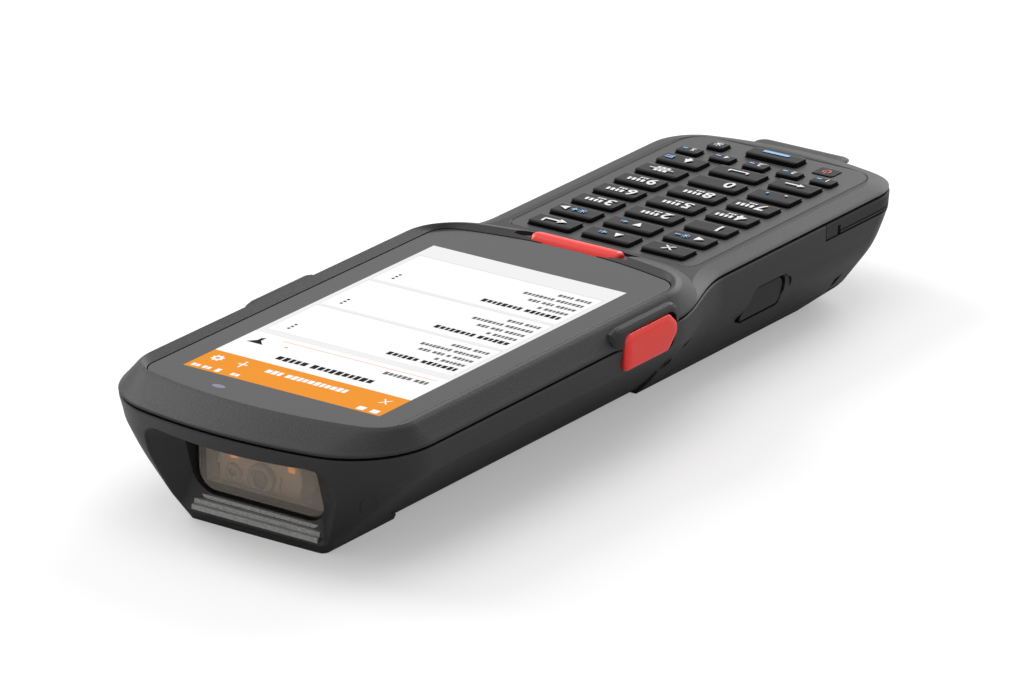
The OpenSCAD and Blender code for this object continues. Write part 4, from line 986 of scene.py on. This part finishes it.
tint_ramp = add_node(tint_tree, "ValToRGB")
tint_ramp.color_ramp.elements[0].color = (0.86, 0.76, 0.66, 1)
tint_ramp.color_ramp.elements[1].color = (0.9, 0.8, 0.7, 1)
wire(tint_tree, (add_node(tint_tree, "TexCoord"), "Object", tint_noise, "Vector"),
     (tint_noise, "Fac", tint_ramp, "Fac"), (tint_ramp, "Color", tint, "Base Color"))
window_rings = []
for inset, y in ((0, 91.3), (0, 92.2), (0.105, 92.395), (0.3, 92.5)):
    outline = both_sides((17 - inset, 18.9 - inset, 2), (17 - inset, 13, 4), (17 - inset, 6.3 + inset, 4.4))
    window_rings.append([(x, y, z) for x, z in outline])
window = loft("window_pane", window_rings)
smooth(window, 30)
finish(window, "case", "tinted_window", tinted, "scan_window")

# Port flap: a soft rubber cover over the charging port, held by a bead at the end towards
# the nose and lifted with a nail at the other.
flap_rubber = plastic("flap_rubber", (0.024, 0.024, 0.025), 0.6, 0.00002, 2600, 0.1, 0.25)
flap = loft("port_cover", [[(x, y, z) for y, z in flap_outline(grow)] for x, grow in (
    (-29.45, 0), (-29.8, -0.05), (-29.95, -0.12), (-30.05, -0.36))])
smooth(flap, 30)
finish(flap, "port_flap", "rubber_seal", flap_rubber, "port_flap")

# A near-black strip round the flap, in its gap: painted shade, so that the gap looks dark.
flap_gap_shade = prism("flap_gap_shade", flap_outline(0.42), "x", -29.85, -28.6)
combine(flap_gap_shade, prism("tool", flap_outline(0.04), "x", -31, -28))
smooth(flap_gap_shade)
finish(flap_gap_shade, "case", "dark_trim", plastic("painted_gap_shade", (0.002, 0.002, 0.002), 0.8, gloss=0.05))

# Tail bumper: a rubber band let into the tail under the seam, with a fine groove along
# its lower edge and a cord slot on each side.
bumper_rubber = plastic("bumper_rubber", (0.022, 0.022, 0.023), 0.6, 0.00002, 2600, 0.1, 0.25)
bumper = case_copy("bumper_band")
band_core = case_loft("band_core", (
    (27, 37.3, 29.7, 104.15, -101.55, 0.004, 14.2, 10.2), (20, 36.6, 29.5, 101.6, -100.85, 0.004, 13.2, 10.2)))
band_space = block("band_space", (-45, -110, 21.9), (45, -68.05, 25.35))
combine(band_space, band_core)
combine(bumper, band_space, "INTERSECT")
groove_core = case_loft("groove_core", (
    (27, 38.4, 30.75, 105.3, -102.6, 0.004, 15, 11), (20, 37.7, 30.55, 103.0, -102.0, 0.004, 14, 11)))
groove_space = block("groove_space", (-45, -110, 22.35), (45, -73, 22.62))
combine(groove_space, groove_core)
combine(bumper, groove_space)
for side in (-1, 1):
    combine(bumper, block("tool", (side * 31 - 0.6, -73.5, 21.8), (side * 31 + 0.6, -72.4, 23.9), 0.2, 2))
smooth(bumper)
finish(bumper, "case", "rubber_seal", bumper_rubber, "tail_bumper")

# Battery cover and its latch: the underside of the handle, of the same plastic as the
# rear housing. The cover drops off; the latch slides towards the tail to free it.
cover_core = case_loft("cover_core", (
    (5.1, 21, 21.8, 95.2, -90.15, 0.001, 5, 7), (5.0, 21, 21.8, 95.2, -90.15, 0.001, 5, 7),
    (1.8, 16.8, 16.8, 93.15, -80.15, 0.0005, 4, 5)))
GRIP_RIB = 1.6  # pitch of the grip lines under cover and latch
cover = case_copy("battery_lid")
combine(cover, block("tool", (-40, -74, -1), (40, -19.55, 5)), "INTERSECT")
combine(cover, cover_core)
for y in range(6):
    combine(cover, block("tool", (-9, -60.4 + GRIP_RIB * y, -1), (9, -59.7 + GRIP_RIB * y, 0.35)))
smooth(cover)
finish(cover, "battery_cover", "rear_shell", rear_plastic, "battery_cover")
latch = case_copy("latch_slide")
combine(latch, block("tool", (-40, -110, -1), (40, -74.15, 4.9)), "INTERSECT")
combine(latch, block("tool", (-4, -84, 4.8), (4, -78, 7.4)), "UNION")
for y in range(4):
    combine(latch, block("tool", (-8, -80.4 + GRIP_RIB * y, -1), (8, -79.7 + GRIP_RIB * y, 0.35)))
smooth(latch)
finish(latch, "battery_latch", "rear_shell", rear_plastic, "battery_latch")

# What the shells close in: stamped steel, circuit boards, silicone, the battery and the
# small parts, each in its own plain finish.
def metal(name, colour, roughness, scale=500):
    paint = plastic(name, colour, roughness, 0.000004, scale, 0.05)
    dials(paint, Metallic=1)
    return paint


for paint, names in (
        (plastic("panel_grey", (0.5, 0.51, 0.53), 0.35), ("display_module",)),
        (metal("stamped_steel", (0.62, 0.62, 0.63), 0.35), (
            "display_chassis", "shield_cans", "metal_domes", "vibration_motor", "engine_bracket", "port_connector")),
        (plastic("board_green", (0.02, 0.11, 0.05), 0.4, 0.00001, 700, 0.2), ("main_board", "keypad_board")),
        (plastic("mat_silicone", (0.55, 0.55, 0.54), 0.55), ("key_mat",)),
        (plastic("trim_black", (0.014, 0.014, 0.015), 0.42, gloss=0.25), ("bar_surround", "side_switches", "speaker")),
        (plastic("battery_sleeve", (0.03, 0.03, 0.035), 0.4), ("battery",)),
        (metal("contact_gold", (0.8, 0.58, 0.25), 0.25), ("battery_contacts",)),
        (metal("screw_black_steel", (0.2, 0.2, 0.21), 0.35), ("screws",))):
    for node_name in names:
        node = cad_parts[node_name]
        node.data.materials.clear()
        node.data.materials.append(paint)

for tool in (case_solid, left_pocket, right_pocket, bumper_core):
    bpy.data.objects.remove(tool)
